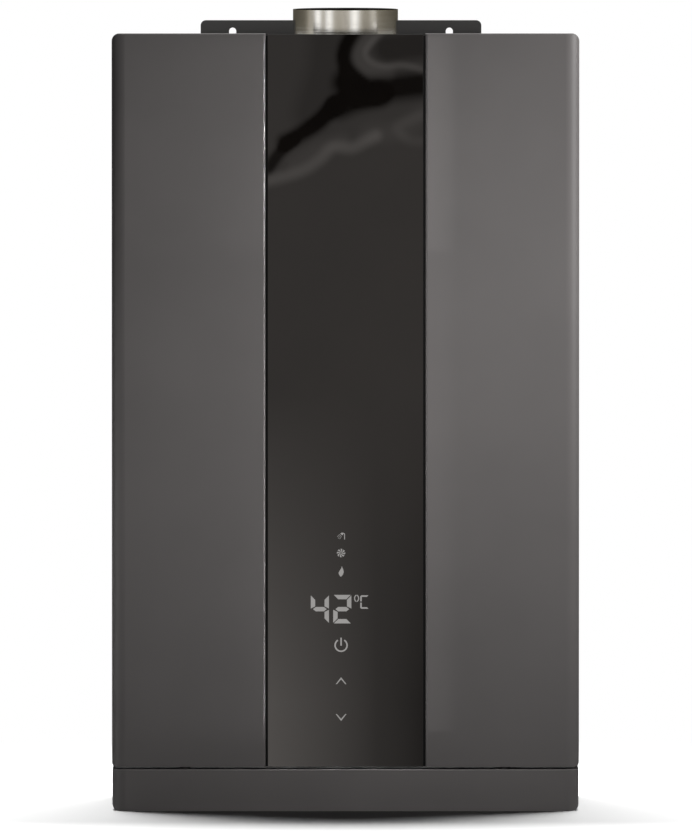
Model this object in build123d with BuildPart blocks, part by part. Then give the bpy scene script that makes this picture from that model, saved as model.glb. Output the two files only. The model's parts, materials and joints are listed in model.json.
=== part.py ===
from build123d import *

import os

# A wall-hung gas water heater with a fan-driven flue, in millimetres.
# X runs to the right seen from the front, Y runs towards the wall and Z runs up.
# The origin is under the middle of the overall box, on the surface that the heater stands on.

# Case
case_width = 350.0
case_height = 582.2
case_depth = 165.0
wall_gap = 10.0
sheet = 1.0
edge_radius = 10.0
overrun = 5.0
seat_gap = 0.3
running_gap = 0.05
hole_gap = 0.2

# Front cover
reveal = 1.6
cover_rear_gap = 2.0
cover_top_radius = 5.5
cover_low_radius = 3.0
cover_top_return = 20.0
cover_low_return = 14.0
channel_width = 119.5
channel_bend = 1.8
cover_stud_inset = 55.0
cover_stud_setback = 8.0
cover_nut_flats = 7.0
cover_nut_height = 3.0

# Glass strip and its tape
glass_side_gap = 1.5
glass_end_gap = 0.1
glass_thickness = 4.0
glass_setback = 0.4
glass_edge = 0.25
tape_thickness = 1.0
tape_width = 8.0
tape_inset = 3.0

# Display behind the glass
display_offset = -3.5
display_low = 67.8
display_high = 209.5
display_margin = 12.0
window_width = 84.0
housing_rim = 4.0
housing_depth = 14.0
housing_wall = 2.0
board_thickness = 1.6
board_gap = 1.5
board_setback = 4.0
digits_width = 62.0
digits_height = 30.0
digits_middle = 152.0
digits_gap = 0.5
post_radius = 3.0
touch_heights = (124.4, 97.8, 70.3)
touch_radius = 3.5
touch_wall = 0.6

# Lower cover
skirt_height = 31.5
skirt_inset = 0.3
skirt_top_radius = 0.9
skirt_low_radius = 5.0
skirt_low_return = 12.0
skirt_top_return = 26.0
skirt_side_return = 8.0
skirt_screw_inset = 43.0
skirt_screw_count = 3

# Back plate
back_flange = 18.0
bead_depth = 1.5
bead_width = 14.0
bead_length = 240.0
bead_count = 4

# Wall brackets
bracket_sheet = 1.5
bracket_width = 212.5
bracket_offset = -3.4
bracket_rise = 5.75
bracket_radius = 4.0
bracket_reach = 48.0
bracket_flange = 34.0
wall_hole_spacing = 164.0
wall_hole_radius = 2.7
keyhole_radius = 5.5
keyhole_drop = 5.6
keyhole_slot = 14.0
low_bracket_bottom = 4.0
low_bracket_reach = 20.0
low_bracket_flange = 16.0
rivet_radius = 2.0
rivet_head_radius = 3.6
rivet_head = 1.2
rivet_spacing = 60.0
rivet_count = 4

# Top and bottom plates
top_drop = 6.5
plate_lip = 12.0
plate_front_gap = 0.5
bottom_rise = 44.0
bottom_setback = 18.0
bottom_foot = 8.0
vent_length = 46.0
vent_width = 5.0
vent_step = 11.0
vent_count = 4
vent_back = 26.0

# Screws
screw_radius = 2.0
screw_length = 7.0
screw_head_radius = 4.0
screw_head = 2.4
screw_round = 1.0
recess_length = 4.6
recess_width = 0.9
recess_depth = 1.1
plate_screw_inset = 32.0
plate_screw_count = 3

# Flue
flue_radius = 39.5
flue_wall = 0.8
flue_rise = 16.4
flue_flange_radius = 56.0
flue_screw_circle = 50.0
flue_screw_count = 4
flue_screw_turn = 45.0
flue_hole_gap = 0.5
gasket_thickness = 2.0
gasket_margin = 2.5

# Fan
impeller_radius = 48.0
fan_clearance = 6.0
scroll_step = 7.0
tongue_offset = 22.0
fan_depth = 52.0
outlet_rise = 77.5
outlet_drop = 8.0
outlet_flange = 1.2
fan_inlet_radius = 36.0
impeller_gap = 5.0
impeller_plate = 1.4
impeller_ring = 6.0
impeller_hub_radius = 8.0
impeller_hub_length = 14.0
blade_count = 26
blade_length = 10.5
blade_width_share = 0.9
blade_thickness = 0.9
blade_angle = 28.0
shaft_radius = 3.0
motor_radius = 30.0
motor_length = 34.0
motor_flange_radius = 38.0
motor_flange = 2.0
motor_neck_radius = 24.0
motor_neck = 3.0
motor_boss_radius = 9.0
motor_boss = 4.0
motor_slot_count = 12
motor_slot_width = 4.0
motor_slot_length = 18.0
motor_slot_depth = 2.0
nipple_radius = 2.5
nipple_length = 8.0
nipple_bore = 1.4
nipple_rise = 16.0
nipple_back = 10.0

# Flue flap
flap_rise = 5.0
flap_thickness = 0.8
flap_gap = 1.0
flap_barrel_radius = 2.4
flap_pin_radius = 1.5
flap_axis_inset = 3.5

# Exhaust hood and the stack under it
side_room = 57.0
front_room = 43.5
rear_room = 18.0
stack_flange = 8.0
hood_height = 28.0
hood_gap = 1.0
hood_bevel = 10.0
riser_margin = 14.0
bracket_block_width = 40.0
bracket_block_height = 20.0
stack_bracket_spread = 80.0
stack_bracket_rise = 20.0

# Heat exchanger
tube_radius = 7.0
tube_wall = 1.0
tube_margin = 10.25
tube_room = 18.0
return_reach = 16.0
stub_reach = 10.0
return_bend_share = 0.48
fin_count = 30
fin_thickness = 0.6
fin_height = 42.0
fin_drop = 8.0
fin_margin = 4.0
coil_rise = 22.0
coil_head = 27.0
coil_bend = 12.0
coil_gap = 1.8
pipe_bend = 16.0
pipe_reach = 27.0
elbow_run = 25.0

# Burner
burner_rise_share = 0.38
burner_height_share = 0.17
burner_count = 11
burner_side_gap = 8.0
burner_width = 9.0
burner_end_gap = 3.0
burner_top_gap = 5.0
burner_wall = 0.8
crown_width = 5.0
crown_height = 5.0
slit_count = 16
slit_width = 1.2
throat_radius = 6.0
throat_bore = 4.5
throat_length = 26.0
throat_setback = 8.0
nozzle_rise = 17.0
nozzle_radius = 3.0
nozzle_bore = 0.7
nozzle_sink = 2.0
nozzle_reach = 5.0
air_hole_radius = 2.5
air_hole_rows = 5
air_hole_pitch = 18.0
manifold_depth = 14.0
manifold_height = 18.0
manifold_wall = 3.0
manifold_plate = 2.0
manifold_end_gap = 8.0
electrode_rise = 8.0
electrode_radius = 3.5
electrode_collar_radius = 5.5
electrode_collar = 3.0
electrode_out = 14.0
electrode_in = 6.0
electrode_wire_radius = 1.0
electrode_wire = 26.0
electrode_places = (40.0, 54.0, -54.0)
igniter_width = 25.0
igniter_gap = 8.0
igniter_height = 35.0
igniter_front = 14.0
igniter_rise = 15.0
igniter_round = 3.0

# Gas valve
gas_x = 0.0
gas_y = 5.0
valve_rise = 35.0
valve_width = 90.0
valve_depth = 48.0
valve_height = 62.0
valve_round = 4.0
gas_bore = 7.0
passage_radius = 3.5
coil_length = 34.0
shut_coil_radius = 14.0
shut_coil_spread = 15.5
prop_coil_radius = 17.0
coil_cap = 2.0
core_radius = 5.0
core_gap = 0.3
core_length = 43.0
seat_radius = 7.5
seat_thickness = 3.0
seat_bore = 4.5
seat_depth = 30.0
chamber_radius = 9.5
gas_pipe_radius = 6.5
gas_pipe_bend = 18.0

# Water and gas stubs
thread_radius = 10.48
thread_end = 10.0
thread_length = 24.0
thread_chamfer = 1.0
shank_radius = 11.4
stub_flange_radius = 18.0
stub_flange = 4.0
stub_bore = 7.5
nut_flats = 30.0
nut_height = 6.0
nut_sides = 6
pipe_y = 25.0
hot_body_radius = 13.0
hot_body_height = 30.0
cold_body_radius = 15.0
cold_body_height = 80.0
cold_neck = 10.0
cold_neck_radius = 10.0
hot_jog = 27.0
hot_jog_rise = 73.0

# Flow sensor, filter and drain
turbine_room_radius = 10.0
turbine_room_rise = 35.0
turbine_room_height = 32.0
spider_thickness = 3.0
spider_inset = 2.0
turbine_radius = 9.4
turbine_hub_radius = 3.2
turbine_pin_radius = 1.5
turbine_end_gap = 0.6
turbine_blade_count = 4
turbine_blade_thickness = 1.0
turbine_blade_angle = 30.0
sensor_width = 16.0
sensor_depth = 9.0
sensor_height = 16.0
sensor_sink = 1.2
filter_wall = 0.8
filter_height = 46.0
filter_slot_count = 6
filter_slot_width = 2.4
filter_rise = 4.0
drain_reach = 31.0
drain_branch_radius = 7.0
drain_branch_rise = 15.0
drain_branch_bore = 3.5
drain_boss_radius = 10.0
drain_boss_height = 25.0
drain_bore = 5.0
drain_bore_height = 18.0
drain_shank_height = 15.0
drain_shank_gap = 0.1
drain_hole_gap = 1.5
drain_knob_radius = 9.0
drain_knob_height = 18.5
drain_knob_gap = 0.5
drain_rib_count = 8
drain_rib_radius = 1.4

# Water sensors
clip_length = 14.0
clip_wall = 2.5
thermostat_radius = 10.0
thermostat_thickness = 8.0
thermostat_drop = 55.0
thermostat_back = 20.0

# Control box
box_valve_gap = 6.0
box_depth = 40.0
box_top_gap = 15.0
box_wall = 2.0
box_side_gap = 8.0
box_front_room = 25.5
box_round = 3.0
lid_thickness = 2.0
main_board_gap = 3.0
main_board_setback = 18.0
part_rise = 12.0
part_width_share = 0.3
part_height_share = 0.28
relay_share = 0.13
relay_count = 3
relay_height_share = 0.8

# Pressure switch
switch_inset = 63.0
switch_drop = 76.5
switch_radius = 22.0
switch_depth = 22.0
switch_rim_radius = 26.0
switch_rim = 5.0
hose_radius = 3.5
hose_bend = 13.0

# Cord gland
gland_radius = 6.5
gland_bore = 3.8
gland_below = 14.0
gland_above = 11.0
gland_collar_radius = 11.0
gland_nut_radius = 8.5
gland_collar = 4.0

# Leads
lead_radius = 1.8
lead_bend = 10.0
lead_room = 5.0
lead_step = 5.0
lead_drop = 40.0
lead_fall = 20.0
spark_shares = (0.7, 0.3)
plug_width = 12.0
plug_depth = 5.0
plug_height = 10.0

# Places that follow from the sizes above
front_y = -(case_depth + wall_gap) / 2
back_y = front_y + case_depth
wall_y = back_y + wall_gap
plate_y = back_y - sheet
side_x = case_width / 2
back_x = side_x - skirt_inset - sheet
flange_x = side_x - sheet - seat_gap
inner_x = back_x - sheet - seat_gap
cover_low_z = skirt_height + reveal
cover_height = case_height - cover_low_z
cover_rear_y = back_y - cover_rear_gap
channel_y = front_y + glass_setback + glass_thickness + tape_thickness
channel_back_y = channel_y + sheet
glass_back_y = channel_y - tape_thickness
top_z = case_height - top_drop
floor_z = bottom_rise + sheet
flue_top_z = case_height + flue_rise
display_z = (display_low + display_high) / 2
window_height = display_high - display_low + 2 * display_margin
stack_x = side_x - side_room
stack_front_y = front_y + front_room
stack_back_y = plate_y - rear_room
stack_y = (stack_front_y + stack_back_y) / 2
outlet_z = top_z - sheet - outlet_drop
fan_z = outlet_z - outlet_rise
scroll_radius = impeller_radius + fan_clearance
scroll_reach = scroll_radius + 3 * scroll_step
fan_x = -(tongue_offset + scroll_reach) / 2
fan_front_y = -fan_depth / 2
fan_back_y = fan_depth / 2
hood_top_z = fan_z - scroll_radius - scroll_step - hood_gap
hood_z = hood_top_z - hood_height
burner_z = floor_z + burner_rise_share * (hood_z - floor_z)
burner_height = burner_height_share * (hood_z - floor_z)
burner_pitch = 2 * (stack_x - burner_side_gap) / burner_count
chamber_z = burner_z + burner_height
fin_z = hood_z - fin_drop - fin_height / 2
tube_span = stack_back_y - stack_front_y - 2 * tube_margin
tube_count = 1 + 2 * int(tube_span / (2 * tube_room))
tube_pitch = tube_span / (tube_count - 1)
tube_ys = [stack_y + (i - (tube_count - 1) / 2) * tube_pitch for i in range(tube_count)]
pipe_x = stack_x + pipe_reach
cold_top_z = floor_z + cold_body_height + cold_neck
hot_top_z = floor_z + hot_body_height
coil_low_z = chamber_z + coil_rise
nozzle_z = burner_z + nozzle_rise
electrode_z = chamber_z + electrode_rise
valve_z = floor_z + valve_rise
valve_mid_z = valve_z + valve_height / 2
valve_right_x = gas_x + valve_width / 2
valve_left_x = gas_x - valve_width / 2
shut_zs = (valve_mid_z + shut_coil_spread, valve_mid_z - shut_coil_spread)
shut_seat_x = valve_right_x - seat_depth
prop_seat_x = valve_left_x + seat_depth
gas_pipe_x = (valve_left_x + prop_seat_x) / 2
drain_y = pipe_y - drain_reach
flap_z = fan_z + scroll_radius + flap_rise
flap_y = fan_back_y - sheet - flap_axis_inset
box_low_x = -(back_x - box_side_gap)
box_high_x = valve_left_x - coil_length - box_valve_gap
box_mid_x = (box_low_x + box_high_x) / 2
box_height = burner_z - floor_z - box_top_gap
box_front_y = front_y + box_front_room
box_back_y = box_front_y + box_depth
main_board_y = box_front_y + main_board_setback
gland_x = box_mid_x
gland_y = (main_board_y + board_thickness + box_back_y - box_wall) / 2
switch_x = back_x - switch_inset
switch_z = top_z - switch_drop
lead_low_y = channel_back_y + lead_room
lead_y = lead_low_y + lead_step


def block(x_low, x_high, y_low, y_high, z_low, z_high, mode=Mode.ADD):
    """A box between two corners."""
    with Locations(((x_low + x_high) / 2, (y_low + y_high) / 2, (z_low + z_high) / 2)):
        Box(x_high - x_low, y_high - y_low, z_high - z_low, mode=mode)


def rod_x(x_low, x_high, y, z, radius, mode=Mode.ADD):
    """A round bar along X."""
    with Locations(((x_low + x_high) / 2, y, z)):
        Cylinder(radius, x_high - x_low, rotation=(0, 90, 0), mode=mode)


def rod_y(x, y_low, y_high, z, radius, mode=Mode.ADD):
    """A round bar along Y."""
    with Locations((x, (y_low + y_high) / 2, z)):
        Cylinder(radius, y_high - y_low, rotation=(90, 0, 0), mode=mode)


def rod_z(x, y, z_low, z_high, radius, mode=Mode.ADD):
    """A round bar along Z."""
    with Locations((x, y, (z_low + z_high) / 2)):
        Cylinder(radius, z_high - z_low, mode=mode)


def bent_tube(points, radius, bend, bore=0):
    """A round tube along straight runs joined by tangent bends."""
    with BuildPart() as tube:
        with BuildLine() as route:
            FilletPolyline(*points, radius=bend)
        with BuildSketch(Plane(origin=route.line @ 0, z_dir=route.line % 0)):
            Circle(radius)
            if bore:
                Circle(bore, mode=Mode.SUBTRACT)
        sweep(path=route.line)
    return tube.part


def cover_plan(inset):
    """Plan of the front cover drawn in by inset; a drawn-in plan runs out through the open back."""
    rear_y = cover_rear_y + (overrun if inset else 0)
    deep = front_y + inset
    with BuildSketch() as plan:
        with Locations((0, (deep + rear_y) / 2)):
            Rectangle(case_width - 2 * inset, rear_y - deep)
        fillet(plan.vertices().group_by(Axis.Y)[0], edge_radius - inset)
        floor_y = channel_y + inset
        with Locations((0, (front_y - overrun + floor_y) / 2)):
            Rectangle(channel_width + 2 * inset, floor_y - front_y + overrun, mode=Mode.SUBTRACT)
        mouth = [v for v in plan.vertices().group_by(Axis.Y)[0] if abs(v.X) < channel_width / 2 + sheet * 2]
        fillet(mouth, channel_bend)
    return plan.sketch


def skirt_plan(inset):
    """Plan of the lower cover drawn in by inset; a drawn-in plan runs out through the open back."""
    rear_y = cover_rear_y + (overrun if inset else 0)
    deep = front_y + inset
    with BuildSketch() as plan:
        with Locations((0, (deep + rear_y) / 2)):
            Rectangle(case_width - 2 * skirt_inset - 2 * inset, rear_y - deep)
        fillet(plan.vertices().group_by(Axis.Y)[0], edge_radius - inset)
    return plan.sketch


def front_outline(width, low_z, high_z, low_radius, top_radius):
    """Rounded outline of a cover seen from the front."""
    with BuildSketch() as outline:
        with Locations((0, (low_z + high_z) / 2)):
            Rectangle(width, high_z - low_z)
        if low_radius:
            fillet(outline.vertices().group_by(Axis.Y)[0], low_radius)
        if top_radius:
            fillet(outline.vertices().group_by(Axis.Y)[-1], top_radius)
    return outline.sketch


def scroll_outline(inset):
    """Snail outline of the fan housing round the shaft, drawn in by inset, with its outlet upwards."""
    first = scroll_radius - inset
    second = first + scroll_step
    third = second + scroll_step
    left = tongue_offset + inset
    right = scroll_reach - inset
    high = outlet_rise + (overrun if inset else 0)
    with BuildSketch() as outline:
        with BuildLine():
            Line((left, high), (left, first))
            Line((left, first), (0, first))
            CenterArc((0, 0), first, 90, 90)
            CenterArc((scroll_step, 0), second, 180, 90)
            CenterArc((scroll_step, scroll_step), third, 270, 90)
            Line((right, scroll_step), (right, high))
            Line((right, high), (left, high))
        make_face()
    return outline.sketch


def threaded_stub(x, y, bore):
    """Lower end of a connection: outer thread, shank through the plate and a flange on top of it."""
    rod_z(x, y, thread_end, thread_end + thread_length, thread_radius)
    rod_z(x, y, thread_end + thread_length, floor_z, shank_radius)
    rod_z(x, y, floor_z, floor_z + stub_flange, stub_flange_radius)
    rod_z(x, y, thread_end - overrun, floor_z + stub_flange, bore, Mode.SUBTRACT)


def lowest_rim(stub):
    """The widest of a stub's lowest round edges."""
    return stub.edges().filter_by(GeomType.CIRCLE).group_by(Axis.Z)[0].sort_by(SortBy.RADIUS)[-1]


def seated(origin, facing):
    """Where a screw head sits, and the way it faces."""
    return Plane(origin=origin, z_dir=facing).location


bottom_front_y = front_y + bottom_setback
cover_stud_y = front_y + cover_stud_setback
cover_stud_xs = (cover_stud_inset - side_x, side_x - cover_stud_inset)
skirt_screw_y = bottom_front_y + (sheet + bottom_foot) / 2
skirt_screw_xs = [(inner_x - skirt_screw_inset) * (2 * i / (skirt_screw_count - 1) - 1)
                  for i in range(skirt_screw_count)]
plate_screw_xs = [(inner_x - plate_screw_inset) * (2 * i / (plate_screw_count - 1) - 1)
                  for i in range(plate_screw_count)]
plate_screw_zs = (top_z - sheet - plate_lip / 2, floor_z + plate_lip / 2)
flue_screw_spots = [Vector(flue_screw_circle, 0).rotate(Axis.Z,
                                                        flue_screw_turn + i * 360 / flue_screw_count)
                    for i in range(flue_screw_count)]
rivet_xs = [bracket_offset + (i - (rivet_count - 1) / 2) * rivet_spacing for i in range(rivet_count)]
bracket_top_z = case_height + bracket_rise
bracket_step_z = bracket_top_z - bracket_reach
bracket_foot_z = bracket_step_z - bracket_flange
low_step_z = low_bracket_bottom + low_bracket_reach
low_foot_z = low_step_z + low_bracket_flange
rivet_zs = ((bracket_step_z + bracket_foot_z) / 2, (low_step_z + low_foot_z) / 2)
wall_hole_xs = [bracket_offset - wall_hole_spacing / 2, bracket_offset + wall_hole_spacing / 2]
stub_places = ((pipe_x, pipe_y), (-pipe_x, pipe_y), (gas_x, gas_y))

# Front cover: a steel pan with two panels, a channel for the glass and returns round its edges
cover_outside = cover_plan(0)
cover_inside = cover_plan(sheet)
cover_face = front_outline(case_width, cover_low_z, case_height, cover_low_radius, cover_top_radius)
cover_room_face = front_outline(case_width - 2 * sheet, cover_low_z + sheet, case_height - sheet,
                                cover_low_radius - sheet, cover_top_radius - sheet)

with BuildPart() as cover_room:
    with BuildSketch(Plane.XY.offset(cover_low_z)):
        add(cover_inside)
    extrude(amount=cover_height)
    with BuildSketch(Plane.XZ):
        add(cover_room_face)
    extrude(amount=case_depth, both=True, mode=Mode.INTERSECT)

with BuildPart() as front_cover:
    with BuildSketch(Plane.XY.offset(cover_low_z)):
        add(cover_outside)
    extrude(amount=cover_height)
    with BuildSketch(Plane.XZ):
        add(cover_face)
    extrude(amount=case_depth, both=True, mode=Mode.INTERSECT)
    add(cover_room.part, mode=Mode.SUBTRACT)
    block(-side_x - overrun, side_x + overrun, front_y + cover_top_return, cover_rear_y + overrun, top_z,
          case_height + overrun, Mode.SUBTRACT)
    block(-channel_width / 2, channel_width / 2, channel_y, front_y + cover_top_return + overrun,
          case_height - sheet - seat_gap, case_height + overrun, Mode.SUBTRACT)
    block(-side_x + sheet, side_x - sheet, front_y + cover_low_return, cover_rear_y + overrun,
          cover_low_z - overrun, cover_low_z + sheet + overrun, Mode.SUBTRACT)
    block(display_offset - window_width / 2, display_offset + window_width / 2, channel_y - overrun / 2,
          channel_back_y + overrun, display_z - window_height / 2, display_z + window_height / 2,
          Mode.SUBTRACT)
    for x in cover_stud_xs:
        rod_z(x, cover_stud_y, cover_low_z - overrun, cover_low_z + sheet + overrun,
              screw_radius + seat_gap,
              Mode.SUBTRACT)
        block(x - screw_radius - seat_gap, x + screw_radius + seat_gap, cover_stud_y,
              front_y + cover_low_return + overrun, cover_low_z - overrun, cover_low_z + sheet + overrun,
              Mode.SUBTRACT)

# Glass strip, held in the channel by two lines of tape
glass_x = channel_width / 2 - glass_side_gap
with BuildPart() as glass_panel:
    block(-glass_x, glass_x, front_y + glass_setback, glass_back_y, cover_low_z + glass_end_gap,
          case_height - glass_end_gap)
    fillet(glass_panel.faces().sort_by(Axis.Y)[0].edges(), glass_edge)

with BuildPart() as glass_tape:
    for sign in (-1, 1):
        near = sign * (glass_x - tape_inset)
        far = sign * (glass_x - tape_inset - tape_width)
        block(min(near, far), max(near, far), glass_back_y, channel_y,
              cover_low_z + glass_end_gap + tape_inset,
              case_height - glass_end_gap - tape_inset)

# Display housing, board and touch springs behind the window in the channel
housing_x = window_width / 2 + housing_rim
housing_z = window_height / 2 + housing_rim
housing_back_y = channel_back_y + housing_depth
board_y = channel_back_y + board_setback
board_x = housing_x - housing_wall - board_gap
board_z = housing_z - housing_wall - board_gap
post_spots = [(display_offset + sx * (board_x - post_radius), display_z + sz * (board_z - post_radius))
              for sx in (-1, 1) for sz in (-1, 1)]
with BuildPart() as display_housing:
    block(display_offset - housing_x, display_offset + housing_x, channel_back_y, housing_back_y,
          display_z - housing_z, display_z + housing_z)
    block(display_offset - housing_x + housing_wall, display_offset + housing_x - housing_wall,
          channel_back_y - overrun, housing_back_y - housing_wall,
          display_z - housing_z + housing_wall, display_z + housing_z - housing_wall, Mode.SUBTRACT)
    for x, z in post_spots:
        rod_y(x, board_y + board_thickness, housing_back_y - housing_wall, z, post_radius)

with BuildPart() as display_board:
    block(display_offset - board_x, display_offset + board_x, board_y, board_y + board_thickness,
          display_z - board_z, display_z + board_z)
    block(display_offset - digits_width / 2, display_offset + digits_width / 2, glass_back_y + digits_gap,
          board_y,
          digits_middle - digits_height / 2, digits_middle + digits_height / 2)

with BuildPart() as touch_springs:
    for z in touch_heights:
        rod_y(display_offset, glass_back_y, board_y, z, touch_radius)
        rod_y(display_offset, glass_back_y, board_y, z, touch_radius - touch_wall, Mode.SUBTRACT)

# Lower cover: a strip round the front and sides with returns at its top and bottom
skirt_outside = skirt_plan(0)
skirt_inside = skirt_plan(sheet)
skirt_width = case_width - 2 * skirt_inset
skirt_face = front_outline(skirt_width, 0, skirt_height, skirt_low_radius, 0)
skirt_room_face = front_outline(skirt_width - 2 * sheet, sheet, skirt_height - sheet,
                                skirt_low_radius - sheet, 0)

with BuildPart() as skirt_room:
    with BuildSketch(Plane.XY):
        add(skirt_inside)
    extrude(amount=skirt_height)
    with BuildSketch(Plane.XZ):
        add(skirt_room_face)
    extrude(amount=case_depth, both=True, mode=Mode.INTERSECT)

with BuildPart() as lower_cover:
    with BuildSketch(Plane.XY):
        add(skirt_outside)
    extrude(amount=skirt_height)
    with BuildSketch(Plane.XZ):
        add(skirt_face)
    extrude(amount=case_depth, both=True, mode=Mode.INTERSECT)
    fillet(lower_cover.faces().sort_by(Axis.Z)[-1].edges().sort_by(Axis.Y)[:-1], skirt_top_radius)
    add(skirt_room.part, mode=Mode.SUBTRACT)
    block(-back_x + skirt_low_return, back_x - skirt_low_return, front_y + sheet + skirt_low_return,
          cover_rear_y + overrun, -overrun, sheet + overrun, Mode.SUBTRACT)
    block(-back_x + skirt_side_return, back_x - skirt_side_return, front_y + skirt_top_return,
          cover_rear_y + overrun, skirt_height - sheet - overrun, skirt_height + overrun, Mode.SUBTRACT)
    block(-back_x, back_x, plate_y - back_flange - plate_front_gap, cover_rear_y + overrun,
          skirt_height - sheet - overrun, skirt_height + overrun, Mode.SUBTRACT)
    for x in cover_stud_xs:
        rod_z(x, cover_stud_y, skirt_height - sheet - overrun, skirt_height + overrun,
              screw_radius + hole_gap,
              Mode.SUBTRACT)
    for x in skirt_screw_xs:
        rod_z(x, skirt_screw_y, skirt_height - sheet - overrun, skirt_height + overrun,
              screw_radius + hole_gap,
              Mode.SUBTRACT)

# Back plate with side flanges and pressed beads
back_low_z = skirt_low_radius + sheet
back_top_z = top_z - sheet
with BuildPart() as back_plate:
    block(-back_x, back_x, plate_y - back_flange, back_y, back_low_z, cover_low_z)
    block(-flange_x, flange_x, plate_y - back_flange, back_y, cover_low_z, back_top_z)
    block(-back_x + sheet, back_x - sheet, plate_y - back_flange - overrun, plate_y, back_low_z - overrun,
          back_top_z + overrun, Mode.SUBTRACT)
    for i in range(bead_count):
        z = low_foot_z + (bracket_foot_z - low_foot_z) * (i + 1) / (bead_count + 1)
        with BuildSketch(Plane(origin=(0, back_y, z), x_dir=(1, 0, 0), z_dir=(0, 1, 0))):
            SlotOverall(bead_length, bead_width)
        extrude(amount=bead_depth)
        with BuildSketch(Plane(origin=(0, plate_y, z), x_dir=(1, 0, 0), z_dir=(0, 1, 0))):
            SlotOverall(bead_length - 2 * sheet, bead_width - 2 * sheet)
        extrude(amount=bead_depth, mode=Mode.SUBTRACT)
    for x in rivet_xs:
        for z in rivet_zs:
            rod_y(x, plate_y - overrun, back_y + overrun, z, rivet_radius + running_gap, Mode.SUBTRACT)
    for x in plate_screw_xs:
        for z in plate_screw_zs:
            rod_y(x, plate_y - overrun, back_y + overrun, z, screw_radius + hole_gap, Mode.SUBTRACT)

# Wall bracket: a plate with two keyholes, stepped forward onto the back plate
slot_top_z = bracket_top_z - keyhole_drop - wall_hole_radius
with BuildPart() as wall_bracket:
    left_x = bracket_offset - bracket_width / 2
    right_x = bracket_offset + bracket_width / 2
    block(left_x, right_x, wall_y - bracket_sheet, wall_y, bracket_step_z, bracket_top_z)
    fillet(wall_bracket.edges().filter_by(Axis.Y).group_by(Axis.Z)[-1], bracket_radius)
    block(left_x, right_x, back_y, wall_y, bracket_step_z - bracket_sheet, bracket_step_z)
    block(left_x, right_x, back_y, back_y + bracket_sheet, bracket_foot_z, bracket_step_z)
    for x in wall_hole_xs:
        rod_y(x, wall_y - bracket_sheet - overrun, wall_y + overrun, slot_top_z, wall_hole_radius,
              Mode.SUBTRACT)
        block(x - wall_hole_radius, x + wall_hole_radius, wall_y - bracket_sheet - overrun,
              wall_y + overrun,
              slot_top_z - keyhole_slot, slot_top_z, Mode.SUBTRACT)
        rod_y(x, wall_y - bracket_sheet - overrun, wall_y + overrun, slot_top_z - keyhole_slot,
              keyhole_radius,
              Mode.SUBTRACT)
    for x in rivet_xs:
        rod_y(x, back_y - overrun, back_y + bracket_sheet + overrun, rivet_zs[0],
              rivet_radius + running_gap,
              Mode.SUBTRACT)

# Lower wall bracket with two round holes
low_hole_z = low_bracket_bottom + low_bracket_reach / 2
with BuildPart() as lower_bracket:
    block(left_x, right_x, wall_y - bracket_sheet, wall_y, low_bracket_bottom, low_step_z)
    block(left_x, right_x, back_y, wall_y, low_step_z, low_step_z + bracket_sheet)
    block(left_x, right_x, back_y, back_y + bracket_sheet, low_step_z, low_foot_z)
    for x in wall_hole_xs:
        rod_y(x, wall_y - bracket_sheet - overrun, wall_y + overrun, low_hole_z, wall_hole_radius,
              Mode.SUBTRACT)
    for x in rivet_xs:
        rod_y(x, back_y - overrun, back_y + bracket_sheet + overrun, rivet_zs[1],
              rivet_radius + running_gap,
              Mode.SUBTRACT)

with BuildPart() as bracket_rivets:
    for x in rivet_xs:
        for z in rivet_zs:
            rod_y(x, plate_y - rivet_head, back_y + bracket_sheet + rivet_head, z, rivet_radius)
            rod_y(x, plate_y - rivet_head, plate_y, z, rivet_head_radius)
            rod_y(x, back_y + bracket_sheet, back_y + bracket_sheet + rivet_head, z, rivet_head_radius)

# Top plate with the flue hole and lips turned down
top_front_y = max(channel_back_y + plate_front_gap, front_y + edge_radius)
with BuildPart() as top_plate:
    block(-flange_x, flange_x, top_front_y, back_y, top_z - sheet, top_z)
    block(-inner_x, inner_x, top_front_y, top_front_y + sheet, top_z - plate_lip, top_z)
    block(-inner_x, inner_x, plate_y - sheet, plate_y, top_z - sheet - plate_lip, top_z)
    for sign in (-1, 1):
        lip_xs = (sign * flange_x, sign * (flange_x - sheet))
        block(min(lip_xs), max(lip_xs), top_front_y, plate_y - back_flange - plate_front_gap,
              top_z - plate_lip, top_z)
    rod_z(0, 0, top_z - sheet - overrun, top_z + overrun, flue_radius + flue_hole_gap, Mode.SUBTRACT)
    for spot in flue_screw_spots:
        rod_z(spot.X, spot.Y, top_z - sheet - overrun, top_z + overrun, screw_radius + running_gap,
              Mode.SUBTRACT)
    for x in plate_screw_xs:
        rod_y(x, plate_y - sheet - overrun, plate_y + overrun, plate_screw_zs[0],
              screw_radius + running_gap,
              Mode.SUBTRACT)

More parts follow.
